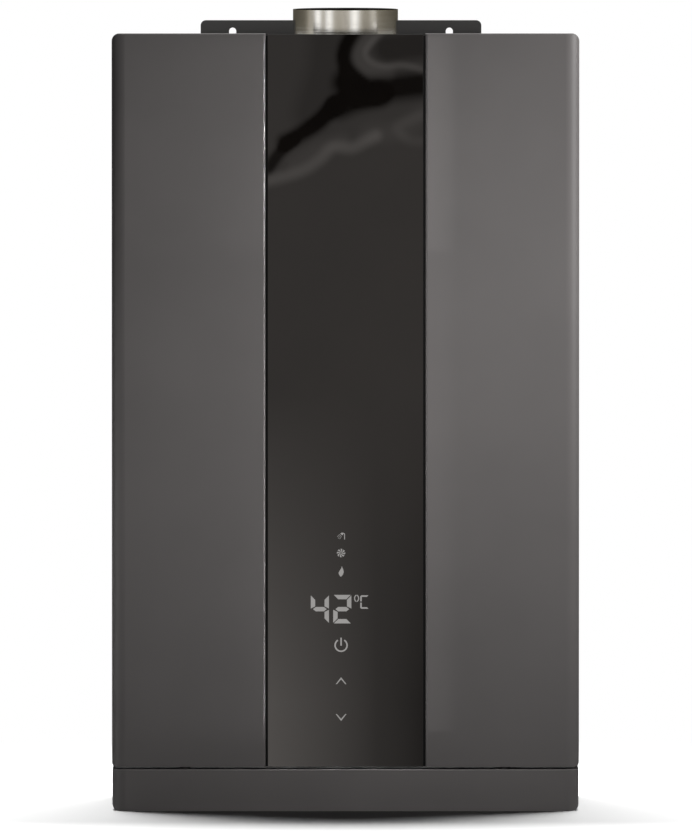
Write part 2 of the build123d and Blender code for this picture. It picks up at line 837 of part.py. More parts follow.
# Bottom plate with the stub, drain and gland holes, air slots and lips
with BuildPart() as bottom_plate:
    block(-inner_x, inner_x, bottom_front_y, plate_y, bottom_rise, floor_z)
    block(-inner_x, inner_x, bottom_front_y, bottom_front_y + sheet, skirt_height, floor_z)
    block(-inner_x, inner_x, bottom_front_y, bottom_front_y + bottom_foot, skirt_height,
          skirt_height + sheet)
    block(-inner_x, inner_x, plate_y - sheet, plate_y, bottom_rise, floor_z + plate_lip)
    for sign in (-1, 1):
        lip_xs = (sign * inner_x, sign * (inner_x - sheet))
        block(min(lip_xs), max(lip_xs), bottom_front_y, plate_y, bottom_rise, floor_z + plate_lip)
    for x in skirt_screw_xs:
        rod_z(x, skirt_screw_y, skirt_height - overrun, skirt_height + sheet + overrun,
              screw_radius + running_gap,
              Mode.SUBTRACT)
    for x, y in stub_places:
        rod_z(x, y, bottom_rise - overrun, floor_z + overrun, shank_radius + hole_gap, Mode.SUBTRACT)
    rod_z(pipe_x, drain_y, bottom_rise - overrun, floor_z + overrun, drain_bore + drain_hole_gap,
          Mode.SUBTRACT)
    rod_z(gland_x, gland_y, bottom_rise - overrun, floor_z + overrun, gland_radius + hole_gap,
          Mode.SUBTRACT)
    for x in plate_screw_xs:
        rod_y(x, plate_y - sheet - overrun, plate_y + overrun, plate_screw_zs[1],
              screw_radius + running_gap,
              Mode.SUBTRACT)
    for sign in (-1, 1):
        for i in range(vent_count):
            x = sign * pipe_x / 2
            y = plate_y - vent_back - i * vent_step
            block(x - vent_length / 2, x + vent_length / 2, y - vent_width / 2, y + vent_width / 2,
                  bottom_rise - overrun, floor_z + overrun, Mode.SUBTRACT)

# One pan-head screw with a cross recess, used for every screw group
with BuildPart() as screw:
    Cylinder(screw_head_radius, screw_head, align=(Align.CENTER, Align.CENTER, Align.MIN))
    fillet(screw.edges().sort_by(Axis.Z)[-1], screw_round)
    Cylinder(screw_radius, screw_length, align=(Align.CENTER, Align.CENTER, Align.MAX))
    with Locations((0, 0, screw_head)):
        Box(recess_length, recess_width, 2 * recess_depth, mode=Mode.SUBTRACT)
        Box(recess_width, recess_length, 2 * recess_depth, mode=Mode.SUBTRACT)

# Studs for the lower edge of the front cover, each with a spacer and a nut
with BuildPart() as cover_studs:
    with Locations(*[seated((x, cover_stud_y, skirt_height - sheet), (0, 0, -1)) for x in cover_stud_xs]):
        add(screw.part)
    for x in cover_stud_xs:
        rod_z(x, cover_stud_y, skirt_height, cover_low_z, screw_head_radius)
        with BuildSketch(Plane(origin=(x, cover_stud_y, cover_low_z + sheet + running_gap))):
            RegularPolygon(cover_nut_flats / 2, nut_sides, major_radius=False)
        extrude(amount=cover_nut_height)

with BuildPart() as chassis_screws:
    with Locations(*[seated((x, skirt_screw_y, skirt_height - sheet), (0, 0, -1)) for x in skirt_screw_xs]):
        add(screw.part)
    with Locations(*[seated((x, back_y, z), (0, 1, 0)) for x in plate_screw_xs for z in plate_screw_zs]):
        add(screw.part)
    with Locations(*[seated((spot.X, spot.Y, top_z + sheet), (0, 0, 1)) for spot in flue_screw_spots]):
        add(screw.part)

# Flue collar on its flange, and the gasket under it
gasket_z = outlet_z + gasket_thickness
with BuildPart() as flue_collar:
    rod_z(0, 0, gasket_z, flue_top_z, flue_radius)
    rod_z(0, 0, top_z, top_z + sheet, flue_flange_radius)
    rod_z(0, 0, gasket_z - overrun, flue_top_z + overrun, flue_radius - flue_wall, Mode.SUBTRACT)
    for spot in flue_screw_spots:
        rod_z(spot.X, spot.Y, top_z - overrun, top_z + overrun, screw_radius + hole_gap, Mode.SUBTRACT)

with BuildPart() as flue_gasket:
    rod_z(0, 0, outlet_z, gasket_z, flue_radius + gasket_margin)
    rod_z(0, 0, outlet_z - overrun, gasket_z + overrun, flue_radius - flue_wall - gasket_margin / 2,
          Mode.SUBTRACT)

# Fan housing: a snail with its outlet up into the flue and its inlet at the back
scroll_outside = scroll_outline(0)
scroll_inside = scroll_outline(sheet)
nipple_x = fan_x + scroll_reach
nipple_z = fan_z + nipple_rise
with BuildPart() as fan_housing:
    with BuildSketch(Plane(origin=(fan_x, fan_back_y, fan_z), x_dir=(1, 0, 0), z_dir=(0, -1, 0))):
        add(scroll_outside)
    extrude(amount=fan_depth)
    rod_z(0, 0, outlet_z - outlet_flange, outlet_z, flue_radius + gasket_margin)
    with BuildSketch(Plane(origin=(fan_x, fan_back_y - sheet, fan_z), x_dir=(1, 0, 0), z_dir=(0, -1, 0))):
        add(scroll_inside)
    extrude(amount=fan_depth - 2 * sheet, mode=Mode.SUBTRACT)
    rod_y(fan_x, 0, fan_back_y + overrun, fan_z, fan_inlet_radius, Mode.SUBTRACT)
    rod_y(fan_x, fan_front_y - overrun, 0, fan_z, impeller_hub_radius, Mode.SUBTRACT)
    rod_x(nipple_x - sheet / 2, nipple_x + nipple_length, nipple_back, nipple_z, nipple_radius)
    rod_x(nipple_x - sheet - overrun, nipple_x + nipple_length + overrun, nipple_back, nipple_z,
          nipple_bore,
          Mode.SUBTRACT)
    rod_x(fan_x, nipple_x + overrun, flap_y, flap_z, flap_pin_radius + running_gap, Mode.SUBTRACT)

# Non-return flap on its pin across the fan outlet
flap_left_x = fan_x + tongue_offset + sheet + flap_gap
flap_right_x = nipple_x - sheet - flap_gap
with BuildPart() as flue_flap:
    block(flap_left_x, flap_right_x, fan_front_y + sheet + flap_gap, flap_y, flap_z - flap_thickness / 2,
          flap_z + flap_thickness / 2)
    rod_x(flap_left_x, flap_right_x, flap_y, flap_z, flap_barrel_radius)
    rod_x(flap_left_x - flap_gap - sheet, flap_right_x + flap_gap + sheet, flap_y, flap_z, flap_pin_radius)

# Impeller: a back disc, a ring and blades between them
impeller_front_y = fan_front_y + sheet + impeller_gap
impeller_back_y = fan_back_y - sheet - impeller_gap
blade_radius = impeller_radius - blade_length / 2
with BuildPart() as fan_impeller:
    rod_y(fan_x, impeller_front_y, impeller_front_y + impeller_plate, fan_z, impeller_radius)
    rod_y(fan_x, impeller_front_y, impeller_front_y + impeller_hub_length, fan_z, impeller_hub_radius)
    rod_y(fan_x, impeller_back_y - impeller_plate, impeller_back_y, fan_z, impeller_radius)
    rod_y(fan_x, impeller_back_y - impeller_plate - overrun / 2, impeller_back_y + overrun, fan_z,
          impeller_radius - impeller_ring, Mode.SUBTRACT)
    with BuildSketch(Plane(origin=(fan_x, impeller_front_y, fan_z), x_dir=(1, 0, 0), z_dir=(0, 1, 0))):
        with PolarLocations(blade_radius, blade_count):
            Rectangle(blade_width_share * blade_length, blade_thickness, rotation=blade_angle)
    extrude(amount=impeller_back_y - impeller_front_y)
    rod_y(fan_x, impeller_front_y - overrun, impeller_front_y + impeller_hub_length + overrun, fan_z,
          shaft_radius + running_gap, Mode.SUBTRACT)

motor_back_y = fan_front_y - motor_flange - motor_neck
motor_front_y = motor_back_y - motor_length
with BuildPart() as fan_shaft:
    rod_y(fan_x, motor_front_y - motor_boss / 2, impeller_front_y + impeller_hub_length, fan_z,
          shaft_radius)

with BuildPart() as fan_motor:
    rod_y(fan_x, motor_front_y, motor_back_y, fan_z, motor_radius)
    fillet(fan_motor.edges().filter_by(GeomType.CIRCLE), motor_neck)
    rod_y(fan_x, motor_back_y, fan_front_y, fan_z, motor_neck_radius)
    rod_y(fan_x, fan_front_y - motor_flange, fan_front_y, fan_z, motor_flange_radius)
    rod_y(fan_x, motor_front_y - motor_boss, motor_front_y, fan_z, motor_boss_radius)
    with BuildSketch(Plane(origin=(fan_x, (motor_front_y + motor_back_y - motor_slot_length) / 2, fan_z),
                           x_dir=(1, 0, 0), z_dir=(0, 1, 0))):
        with PolarLocations(motor_radius, motor_slot_count):
            Rectangle(2 * motor_slot_depth, motor_slot_width)
    extrude(amount=motor_slot_length, mode=Mode.SUBTRACT)
    rod_y(fan_x, motor_front_y - motor_boss / 2 - seat_gap, fan_front_y + overrun, fan_z,
          shaft_radius + running_gap,
          Mode.SUBTRACT)

# Exhaust hood over the chamber, with a riser behind the fan
riser_left_x = max(fan_x - fan_inlet_radius - riser_margin, -stack_x)
riser_right_x = fan_x + fan_inlet_radius + riser_margin
riser_top_z = fan_z + fan_inlet_radius + riser_margin
with BuildPart() as hood_room:
    block(-stack_x + sheet, stack_x - sheet, stack_front_y + sheet, stack_back_y - sheet, hood_z - overrun,
          hood_top_z - sheet)
    chamfer(hood_room.faces().sort_by(Axis.Z)[-1].edges().filter_by(Axis.X), hood_bevel)
    block(riser_left_x + sheet, riser_right_x - sheet, fan_back_y + sheet, stack_back_y - sheet, hood_z,
          riser_top_z - sheet)

with BuildPart() as exhaust_hood:
    block(-stack_x, stack_x, stack_front_y, stack_back_y, hood_z, hood_top_z)
    chamfer(exhaust_hood.faces().sort_by(Axis.Z)[-1].edges().filter_by(Axis.X), hood_bevel)
    block(riser_left_x, riser_right_x, fan_back_y, stack_back_y, hood_z, riser_top_z)
    block(-stack_x - stack_flange, stack_x + stack_flange, stack_front_y - stack_flange,
          stack_back_y + stack_flange,
          hood_z, hood_z + sheet)
    add(hood_room.part, mode=Mode.SUBTRACT)
    rod_y(fan_x, fan_back_y - overrun, fan_back_y + sheet + overrun, fan_z, fan_inlet_radius, Mode.SUBTRACT)

# Combustion chamber shell with flanges and tube holes
with BuildPart() as chamber_shell:
    block(-stack_x, stack_x, stack_front_y, stack_back_y, chamber_z, hood_z)
    for z in (chamber_z, hood_z - sheet):
        block(-stack_x - stack_flange, stack_x + stack_flange, stack_front_y - stack_flange,
              stack_back_y + stack_flange, z, z + sheet)
    block(-stack_x + sheet, stack_x - sheet, stack_front_y + sheet, stack_back_y - sheet,
          chamber_z - overrun,
          hood_z + overrun, Mode.SUBTRACT)
    for y in tube_ys:
        rod_x(-stack_x - overrun, stack_x + overrun, y, fin_z, tube_radius + hole_gap, Mode.SUBTRACT)
    for x in electrode_places:
        rod_y(x, stack_front_y - overrun, stack_front_y + sheet + overrun, electrode_z,
              electrode_radius + hole_gap,
              Mode.SUBTRACT)

# Fins and the tubes that run through them
with BuildPart() as fin:
    block(-fin_thickness / 2, fin_thickness / 2, stack_front_y + sheet + seat_gap,
          stack_back_y - sheet - seat_gap,
          fin_z - fin_height / 2, fin_z + fin_height / 2)
    for y in tube_ys:
        rod_x(-overrun, overrun, y, fin_z, tube_radius + running_gap, Mode.SUBTRACT)

fin_step = 2 * (stack_x - sheet - fin_margin) / (fin_count - 1)
with BuildPart() as fins:
    with GridLocations(fin_step, 0, fin_count, 1):
        add(fin.part)

return_x = stack_x + return_reach
serpent = [(stack_x + stub_reach, tube_ys[0], fin_z)]
for i in range(tube_count - 1):
    end_x = -return_x if i % 2 == 0 else return_x
    serpent.append((end_x, tube_ys[i], fin_z))
    serpent.append((end_x, tube_ys[i + 1], fin_z))
serpent.append((-stack_x - stub_reach, tube_ys[-1], fin_z))
with BuildPart() as fin_tubes:
    add(bent_tube(serpent, tube_radius, return_bend_share * tube_pitch, tube_radius - tube_wall))

# Tube wrapped twice round the chamber, from the cold pipe up to the first fin tube
wrap_x = stack_x + tube_radius + coil_gap
wrap_front_y = stack_front_y - tube_radius - coil_gap
wrap_back_y = stack_back_y + tube_radius + coil_gap
wrap_corners = [(pipe_x, wrap_front_y), (-wrap_x, wrap_front_y), (-wrap_x, wrap_back_y),
                (wrap_x, wrap_back_y),
                (wrap_x, wrap_front_y), (-wrap_x, wrap_front_y), (-wrap_x, wrap_back_y),
                (pipe_x, wrap_back_y),
                (pipe_x, tube_ys[0])]
coil_climb = (fin_z - coil_head - coil_low_z) / (len(wrap_corners) - 1)
wrap_route = [(pipe_x, pipe_y - elbow_run, coil_low_z)]
wrap_route += [(x, y, coil_low_z + i * coil_climb) for i, (x, y) in enumerate(wrap_corners)]
wrap_route += [(pipe_x, tube_ys[0], fin_z), (stack_x + stub_reach, tube_ys[0], fin_z)]
with BuildPart() as wrap_coil:
    add(bent_tube(wrap_route, tube_radius, coil_bend, tube_radius - tube_wall))

# Burner box with air holes, and the row of burner bars in it
with BuildPart() as burner_box:
    block(-stack_x, stack_x, stack_front_y, stack_back_y, burner_z, chamber_z)
    block(-stack_x - stack_flange, stack_x + stack_flange, stack_front_y - stack_flange,
          stack_back_y + stack_flange,
          chamber_z - sheet, chamber_z)
    block(-stack_x + sheet, stack_x - sheet, stack_front_y + sheet, stack_back_y - sheet, burner_z + sheet,
          chamber_z + overrun, Mode.SUBTRACT)
    window_x = (burner_count - 1) * burner_pitch / 2 + throat_radius
    block(-window_x, window_x, stack_front_y - overrun, stack_front_y + sheet + overrun,
          nozzle_z - throat_radius, nozzle_z + throat_radius, Mode.SUBTRACT)
    with Locations((0, stack_y, burner_z)):
        with GridLocations(burner_pitch, air_hole_pitch, burner_count - 1, air_hole_rows):
            Cylinder(air_hole_radius, 2 * (sheet + overrun), mode=Mode.SUBTRACT)

bar_front_y = stack_front_y + sheet + burner_end_gap
bar_back_y = stack_back_y - sheet - burner_end_gap
bar_z = burner_z + sheet
crown_z = chamber_z - burner_top_gap - crown_height
with BuildPart() as burner_bar:
    block(-burner_width / 2, burner_width / 2, bar_front_y + throat_setback, bar_back_y, bar_z, crown_z)
    block(-crown_width / 2, crown_width / 2, bar_front_y + throat_setback, bar_back_y, crown_z,
          crown_z + crown_height)
    rod_y(0, bar_front_y + throat_setback / 2, bar_front_y + throat_setback + throat_length, nozzle_z,
          throat_radius)
    block(-burner_width / 2 + burner_wall, burner_width / 2 - burner_wall,
          bar_front_y + throat_setback + burner_wall,
          bar_back_y - burner_wall, bar_z + burner_wall, crown_z - burner_wall, Mode.SUBTRACT)
    rod_y(0, bar_front_y - overrun, bar_front_y + throat_setback + throat_length - throat_bore, nozzle_z,
          throat_bore,
          Mode.SUBTRACT)
    slit_step = (bar_back_y - bar_front_y - throat_setback) / (slit_count + 1)
    for i in range(slit_count):
        y = bar_front_y + throat_setback + (i + 1) * slit_step
        block(-crown_width, crown_width, y - slit_width / 2, y + slit_width / 2, crown_z + crown_height / 2,
              crown_z + crown_height + overrun, Mode.SUBTRACT)

with BuildPart() as burner_bars:
    with GridLocations(burner_pitch, 0, burner_count, 1):
        add(burner_bar.part)

# Gas manifold on the burner box with a nozzle for each bar
manifold_back_y = stack_front_y - manifold_plate
manifold_front_y = manifold_back_y - manifold_depth
manifold_low_z = nozzle_z - manifold_height / 2
manifold_high_z = nozzle_z + manifold_height / 2
manifold_x = stack_x - manifold_end_gap
burner_xs = [(i - (burner_count - 1) / 2) * burner_pitch for i in range(burner_count)]
with BuildPart() as gas_manifold:
    block(-manifold_x, manifold_x, manifold_front_y, manifold_back_y, manifold_low_z, manifold_high_z)
    block(-stack_x, stack_x, manifold_back_y, stack_front_y, manifold_low_z - manifold_wall,
          manifold_high_z + manifold_wall)
    block(-manifold_x + manifold_wall, manifold_x - manifold_wall, manifold_front_y + manifold_wall,
          manifold_back_y - manifold_wall, manifold_low_z + manifold_wall, manifold_high_z - manifold_wall,
          Mode.SUBTRACT)
    for x in burner_xs:
        rod_y(x, manifold_back_y - manifold_wall - overrun / 2, stack_front_y + overrun, nozzle_z,
              nozzle_radius + running_gap, Mode.SUBTRACT)
    rod_z(gas_pipe_x, (manifold_front_y + manifold_back_y) / 2, manifold_low_z - overrun,
          manifold_low_z + manifold_wall + overrun / 2, manifold_wall, Mode.SUBTRACT)

with BuildPart() as gas_nozzles:
    for x in burner_xs:
        rod_y(x, manifold_back_y - nozzle_sink, stack_front_y + nozzle_reach, nozzle_z, nozzle_radius)
        rod_y(x, manifold_back_y - nozzle_sink - overrun, stack_front_y + nozzle_reach + overrun, nozzle_z,
              nozzle_bore,
              Mode.SUBTRACT)

# Ignition and flame electrodes through the front of the chamber
electrode_end_y = stack_front_y - electrode_out
electrode_tip_y = stack_front_y + sheet + electrode_in
with BuildPart() as electrodes:
    for x in electrode_places:
        rod_y(x, electrode_end_y, electrode_tip_y, electrode_z, electrode_radius)
        rod_y(x, stack_front_y - electrode_collar, stack_front_y, electrode_z, electrode_collar_radius)
        rod_y(x, electrode_tip_y, electrode_tip_y + electrode_wire, electrode_z, electrode_wire_radius)

igniter_y = stack_front_y + igniter_front
igniter_z = burner_z + igniter_rise
igniter_back_y = pipe_y - tube_radius - igniter_gap
with BuildPart() as igniter:
    block(stack_x, stack_x + igniter_width, igniter_y, igniter_back_y, igniter_z,
          igniter_z + igniter_height)
    fillet(igniter.faces().sort_by(Axis.X)[-1].edges(), igniter_round)

# Brackets that hold the stack on the back plate
bracket_spots = [(-stack_bracket_spread, burner_z + stack_bracket_rise),
                 (stack_bracket_spread, burner_z + stack_bracket_rise), (fan_x, fan_z)]
with BuildPart() as stack_brackets:
    for x, z in bracket_spots:
        low_x = x - bracket_block_width / 2
        high_x = x + bracket_block_width / 2
        block(low_x, high_x, stack_back_y, plate_y, z, z + bracket_sheet)
        block(low_x, high_x, stack_back_y, stack_back_y + bracket_sheet, z, z + bracket_block_height)
        block(low_x, high_x, plate_y - bracket_sheet, plate_y, z, z + bracket_block_height)

# Gas inlet stub and the valve body on it
with BuildPart() as gas_inlet:
    threaded_stub(gas_x, gas_y, gas_bore)
    rod_z(gas_x, gas_y, floor_z + stub_flange, valve_z, shank_radius)
    rod_z(gas_x, gas_y, floor_z, valve_z + overrun, gas_bore, Mode.SUBTRACT)
    chamfer(lowest_rim(gas_inlet), thread_chamfer)

valve_front_y = gas_y - valve_depth / 2
with BuildPart() as gas_valve_body:
    block(valve_left_x, valve_right_x, valve_front_y, gas_y + valve_depth / 2, valve_z,
          valve_z + valve_height)
    fillet(gas_valve_body.edges().filter_by(Axis.Z), valve_round)
    rod_z(gas_x, gas_y, valve_z - overrun, shut_zs[1], gas_bore, Mode.SUBTRACT)
    rod_z((shut_seat_x + valve_right_x) / 2, gas_y, shut_zs[1], shut_zs[0], passage_radius, Mode.SUBTRACT)
    rod_z(gas_x, gas_y, valve_mid_z, shut_zs[0], passage_radius, Mode.SUBTRACT)
    for z in shut_zs:
        rod_x(shut_seat_x, valve_right_x + overrun, gas_y, z, chamber_radius, Mode.SUBTRACT)
        rod_x(gas_x, shut_seat_x + overrun, gas_y, z, seat_bore, Mode.SUBTRACT)
    rod_x(valve_left_x - overrun, prop_seat_x, gas_y, valve_mid_z, chamber_radius, Mode.SUBTRACT)
    rod_x(prop_seat_x - overrun, gas_x, gas_y, valve_mid_z, seat_bore, Mode.SUBTRACT)
    rod_y(gas_pipe_x, valve_front_y - overrun, gas_y, valve_mid_z, seat_bore, Mode.SUBTRACT)

with BuildPart() as valve_coils:
    for z in shut_zs:
        rod_x(valve_right_x, valve_right_x + coil_length, gas_y, z, shut_coil_radius)
        rod_x(valve_right_x - overrun, valve_right_x + coil_length - coil_cap, gas_y, z,
              core_radius + core_gap,
              Mode.SUBTRACT)
    rod_x(valve_left_x - coil_length, valve_left_x, gas_y, valve_mid_z, prop_coil_radius)
    rod_x(valve_left_x - coil_length + coil_cap, valve_left_x + overrun, gas_y, valve_mid_z,
          core_radius + core_gap,
          Mode.SUBTRACT)

core_end_x = shut_seat_x + seat_thickness + core_length
with BuildPart() as upper_plunger:
    rod_x(shut_seat_x, shut_seat_x + seat_thickness, gas_y, shut_zs[0], seat_radius)
    rod_x(shut_seat_x, core_end_x, gas_y, shut_zs[0], core_radius)

with BuildPart() as lower_plunger:
    rod_x(shut_seat_x, shut_seat_x + seat_thickness, gas_y, shut_zs[1], seat_radius)
    rod_x(shut_seat_x, core_end_x, gas_y, shut_zs[1], core_radius)

prop_end_x = prop_seat_x - seat_thickness - core_length
with BuildPart() as proportional_plunger:
    rod_x(prop_seat_x - seat_thickness, prop_seat_x, gas_y, valve_mid_z, seat_radius)
    rod_x(prop_end_x, prop_seat_x, gas_y, valve_mid_z, core_radius)

# Gas pipe from the valve up to the manifold
manifold_y = (manifold_front_y + manifold_back_y) / 2
with BuildPart() as gas_pipe:
    add(bent_tube([(gas_pipe_x, valve_front_y, valve_mid_z), (gas_pipe_x, manifold_y, valve_mid_z),
                   (gas_pipe_x, manifold_y, manifold_low_z)], gas_pipe_radius, gas_pipe_bend,
                  gas_pipe_radius - tube_wall))

# Cold inlet body with the turbine room, its two spiders and the drain branch
body_top_z = floor_z + cold_body_height
room_z = floor_z + turbine_room_rise
room_top_z = room_z + turbine_room_height
branch_z = floor_z + drain_branch_rise
spider_zs = (room_z + spider_inset, room_top_z - spider_inset - spider_thickness)
with BuildPart() as cold_inlet_body:
    threaded_stub(pipe_x, pipe_y, stub_bore)
    rod_z(pipe_x, pipe_y, floor_z + stub_flange, body_top_z, cold_body_radius)
    rod_z(pipe_x, pipe_y, body_top_z, cold_top_z, cold_neck_radius)
    rod_z(pipe_x, drain_y, floor_z, floor_z + drain_boss_height, drain_boss_radius)
    rod_y(pipe_x, drain_y, pipe_y, branch_z, drain_branch_radius)
    rod_z(pipe_x, pipe_y, floor_z, room_z, stub_bore, Mode.SUBTRACT)
    rod_z(pipe_x, pipe_y, room_z, room_top_z, turbine_room_radius, Mode.SUBTRACT)
    rod_z(pipe_x, pipe_y, room_top_z, cold_top_z + overrun, tube_radius - tube_wall, Mode.SUBTRACT)
    rod_y(pipe_x, drain_y, pipe_y, branch_z, drain_branch_bore, Mode.SUBTRACT)
    rod_z(pipe_x, drain_y, floor_z - overrun, floor_z + drain_bore_height, drain_bore, Mode.SUBTRACT)
    for z in spider_zs:
        block(pipe_x - turbine_room_radius - seat_gap, pipe_x + turbine_room_radius + seat_gap,
              pipe_y - spider_thickness, pipe_y + spider_thickness, z, z + spider_thickness)
    rod_z(pipe_x, pipe_y, room_z, room_top_z, turbine_pin_radius + running_gap, Mode.SUBTRACT)
    chamfer(lowest_rim(cold_inlet_body), thread_chamfer)

# Flow turbine between the spiders
turbine_low_z = spider_zs[0] + spider_thickness + turbine_end_gap
turbine_high_z = spider_zs[1] - turbine_end_gap
with BuildPart() as turbine_blades:
    with Locations((pipe_x, pipe_y, (turbine_low_z + turbine_high_z) / 2)):
        with PolarLocations(turbine_radius / 2, turbine_blade_count):
            Box(turbine_radius, turbine_blade_thickness, turbine_room_height,
                rotation=(turbine_blade_angle, 0, 0))
    rod_z(pipe_x, pipe_y, turbine_low_z, turbine_high_z, turbine_radius, Mode.INTERSECT)

with BuildPart() as flow_turbine:
    rod_z(pipe_x, pipe_y, turbine_low_z, turbine_high_z, turbine_hub_radius)
    add(turbine_blades.part)
    rod_z(pipe_x, pipe_y, spider_zs[0], spider_zs[1] + spider_thickness, turbine_pin_radius)

# Flow sensor on the front of the body
sensor_y = pipe_y - cold_body_radius + sensor_sink
sensor_mid_z = room_z + turbine_room_height / 2
with BuildPart() as flow_sensor:
    block(pipe_x - sensor_width / 2, pipe_x + sensor_width / 2, sensor_y - sensor_depth, sensor_y,
          sensor_mid_z - sensor_height / 2, sensor_mid_z + sensor_height / 2)
    rod_z(pipe_x, pipe_y, sensor_mid_z - sensor_height, sensor_mid_z + sensor_height,
          cold_body_radius + running_gap,
          Mode.SUBTRACT)

# Filter basket in the cold inlet
filter_radius = stub_bore - running_gap
filter_low_z = thread_end + filter_rise
with BuildPart() as inlet_filter:
    rod_z(pipe_x, pipe_y, filter_low_z, filter_low_z + filter_height, filter_radius)
    rod_z(pipe_x, pipe_y, filter_low_z - overrun, filter_low_z + filter_height - filter_wall,
          filter_radius - filter_wall, Mode.SUBTRACT)
    with Locations((pipe_x, pipe_y, filter_low_z + filter_height / 2)):
        with PolarLocations(filter_radius, filter_slot_count):
            Box(filter_radius, filter_slot_width, filter_height - 2 * filter_rise, mode=Mode.SUBTRACT)

# Drain plug with a ribbed knob under the bottom plate
knob_top_z = bottom_rise - drain_knob_gap
with BuildPart() as drain_plug:
    rod_z(pipe_x, drain_y, knob_top_z - drain_knob_height, knob_top_z, drain_knob_radius)
    with Locations((pipe_x, drain_y, knob_top_z - drain_knob_height / 2)):
        with PolarLocations(drain_knob_radius, drain_rib_count):
            Cylinder(drain_rib_radius, drain_knob_height)
    rod_z(pipe_x, drain_y, knob_top_z, floor_z + drain_shank_height, drain_bore - drain_shank_gap)

# Hot outlet stub
with BuildPart() as hot_outlet:
    threaded_stub(-pipe_x, pipe_y, stub_bore)
    rod_z(-pipe_x, pipe_y, floor_z + stub_flange, hot_top_z, hot_body_radius)
    rod_z(-pipe_x, pipe_y, floor_z, hot_top_z + overrun, tube_radius - tube_wall, Mode.SUBTRACT)
    chamfer(lowest_rim(hot_outlet), thread_chamfer)

# Lock nuts of the three stubs, under the bottom plate
with BuildPart() as pipe_locknuts:
    for x, y in stub_places:
        with BuildSketch(Plane(origin=(x, y, bottom_rise - nut_height))):
            RegularPolygon(nut_flats / 2, nut_sides, major_radius=False)
            Circle(shank_radius + running_gap, mode=Mode.SUBTRACT)
        extrude(amount=nut_height)

# Cold and hot pipes
with BuildPart() as cold_pipe:
    add(bent_tube([(pipe_x, pipe_y, cold_top_z), (pipe_x, pipe_y, coil_low_z),
                   (pipe_x, pipe_y - elbow_run, coil_low_z)], tube_radius, pipe_bend,
                   tube_radius - tube_wall))

hot_corner_z = hot_top_z + hot_jog_rise
with BuildPart() as hot_pipe:
    add(bent_tube([(-stack_x - stub_reach, tube_ys[-1], fin_z), (-pipe_x, tube_ys[-1], fin_z),
                   (-pipe_x, tube_ys[-1], hot_corner_z + hot_jog), (-pipe_x, pipe_y, hot_corner_z),
                   (-pipe_x, pipe_y, hot_top_z)], tube_radius, pipe_bend, tube_radius - tube_wall))

# Sensors clipped on the pipes and the cut-out on the chamber
clip_radius = tube_radius + clip_wall
clip_places = ((pipe_x, pipe_y, (cold_top_z + coil_low_z) / 2),
               (-pipe_x, tube_ys[-1], (hot_corner_z + fin_z) / 2))
thermostat_z = hood_z - thermostat_drop
with BuildPart() as water_sensors:
    for x, y, z in clip_places:
        rod_z(x, y, z - clip_length / 2, z + clip_length / 2, clip_radius)
        rod_z(x, y, z - clip_length, z + clip_length, tube_radius + running_gap, Mode.SUBTRACT)
    rod_x(stack_x, stack_x + thermostat_thickness, stack_y + thermostat_back, thermostat_z,
          thermostat_radius)

# Control box standing on the bottom plate, with its lid and main board
box_z = floor_z
with BuildPart() as control_box:
    block(box_low_x, box_high_x, box_front_y, box_back_y, box_z, box_z + box_height)
    fillet(control_box.edges().filter_by(Axis.Z), box_round)
    block(box_low_x + box_wall, box_high_x - box_wall, box_front_y - overrun, box_back_y - box_wall,
          box_z + box_wall,
          box_z + box_height - box_wall, Mode.SUBTRACT)
    block(box_low_x + box_wall, box_high_x - box_wall, main_board_y + board_thickness,
          box_back_y - box_wall,
          box_z + box_wall, box_z + box_wall + main_board_gap)
    block(box_low_x + box_wall, box_high_x - box_wall, main_board_y + board_thickness,
          box_back_y - box_wall,
          box_z + box_height - box_wall - main_board_gap, box_z + box_height - box_wall)
    rod_z(gland_x, gland_y, box_z - overrun, box_z + box_wall + main_board_gap + overrun,
          gland_radius + hole_gap,
          Mode.SUBTRACT)

with BuildPart() as control_box_lid:
    block(box_low_x, box_high_x, box_front_y - lid_thickness, box_front_y, box_z, box_z + box_height)
    fillet(control_box_lid.edges().filter_by(Axis.Y), box_round)

box_mid_z = box_z + box_height / 2
relay_size = relay_share * box_height
part_width = part_width_share * (box_high_x - box_low_x)
with BuildPart() as main_board:
    block(box_low_x + box_wall + board_gap, box_high_x - box_wall - board_gap, main_board_y,
          main_board_y + board_thickness, box_z + box_wall + board_gap,
          box_z + box_height - box_wall - board_gap)
    block(box_mid_x - part_width, box_mid_x, main_board_y - part_rise, main_board_y, box_mid_z,
          box_mid_z + part_height_share * box_height)
    for i in range(relay_count):
        z = box_mid_z - relay_size * (i + 1)
        block(box_mid_x + relay_size / 2, box_mid_x + 3 * relay_size / 2, main_board_y - part_rise,
              main_board_y,
              z, z + relay_height_share * relay_size)

# Pressure switch on the back plate, and the hose from the fan housing to it
switch_front_y = plate_y - switch_depth
switch_nipple_y = plate_y - switch_depth / 2
with BuildPart() as pressure_switch:
    rod_y(switch_x, switch_front_y, plate_y, switch_z, switch_radius)
    rod_y(switch_x, switch_nipple_y - switch_rim / 2, switch_nipple_y + switch_rim / 2, switch_z,
          switch_rim_radius)
    rod_x(switch_x - switch_rim_radius - nipple_length, switch_x, switch_nipple_y, switch_z, nipple_radius)

hose_start_x = nipple_x
hose_end_x = switch_x - switch_rim_radius
hose_mid_x = (hose_start_x + hose_end_x) / 2
with BuildPart() as pressure_hose:
    add(bent_tube([(hose_start_x, nipple_back, nipple_z), (hose_mid_x, nipple_back, nipple_z),
                   (hose_mid_x, switch_nipple_y, switch_z), (hose_end_x, switch_nipple_y, switch_z)],
                  hose_radius, hose_bend, nipple_radius + running_gap))

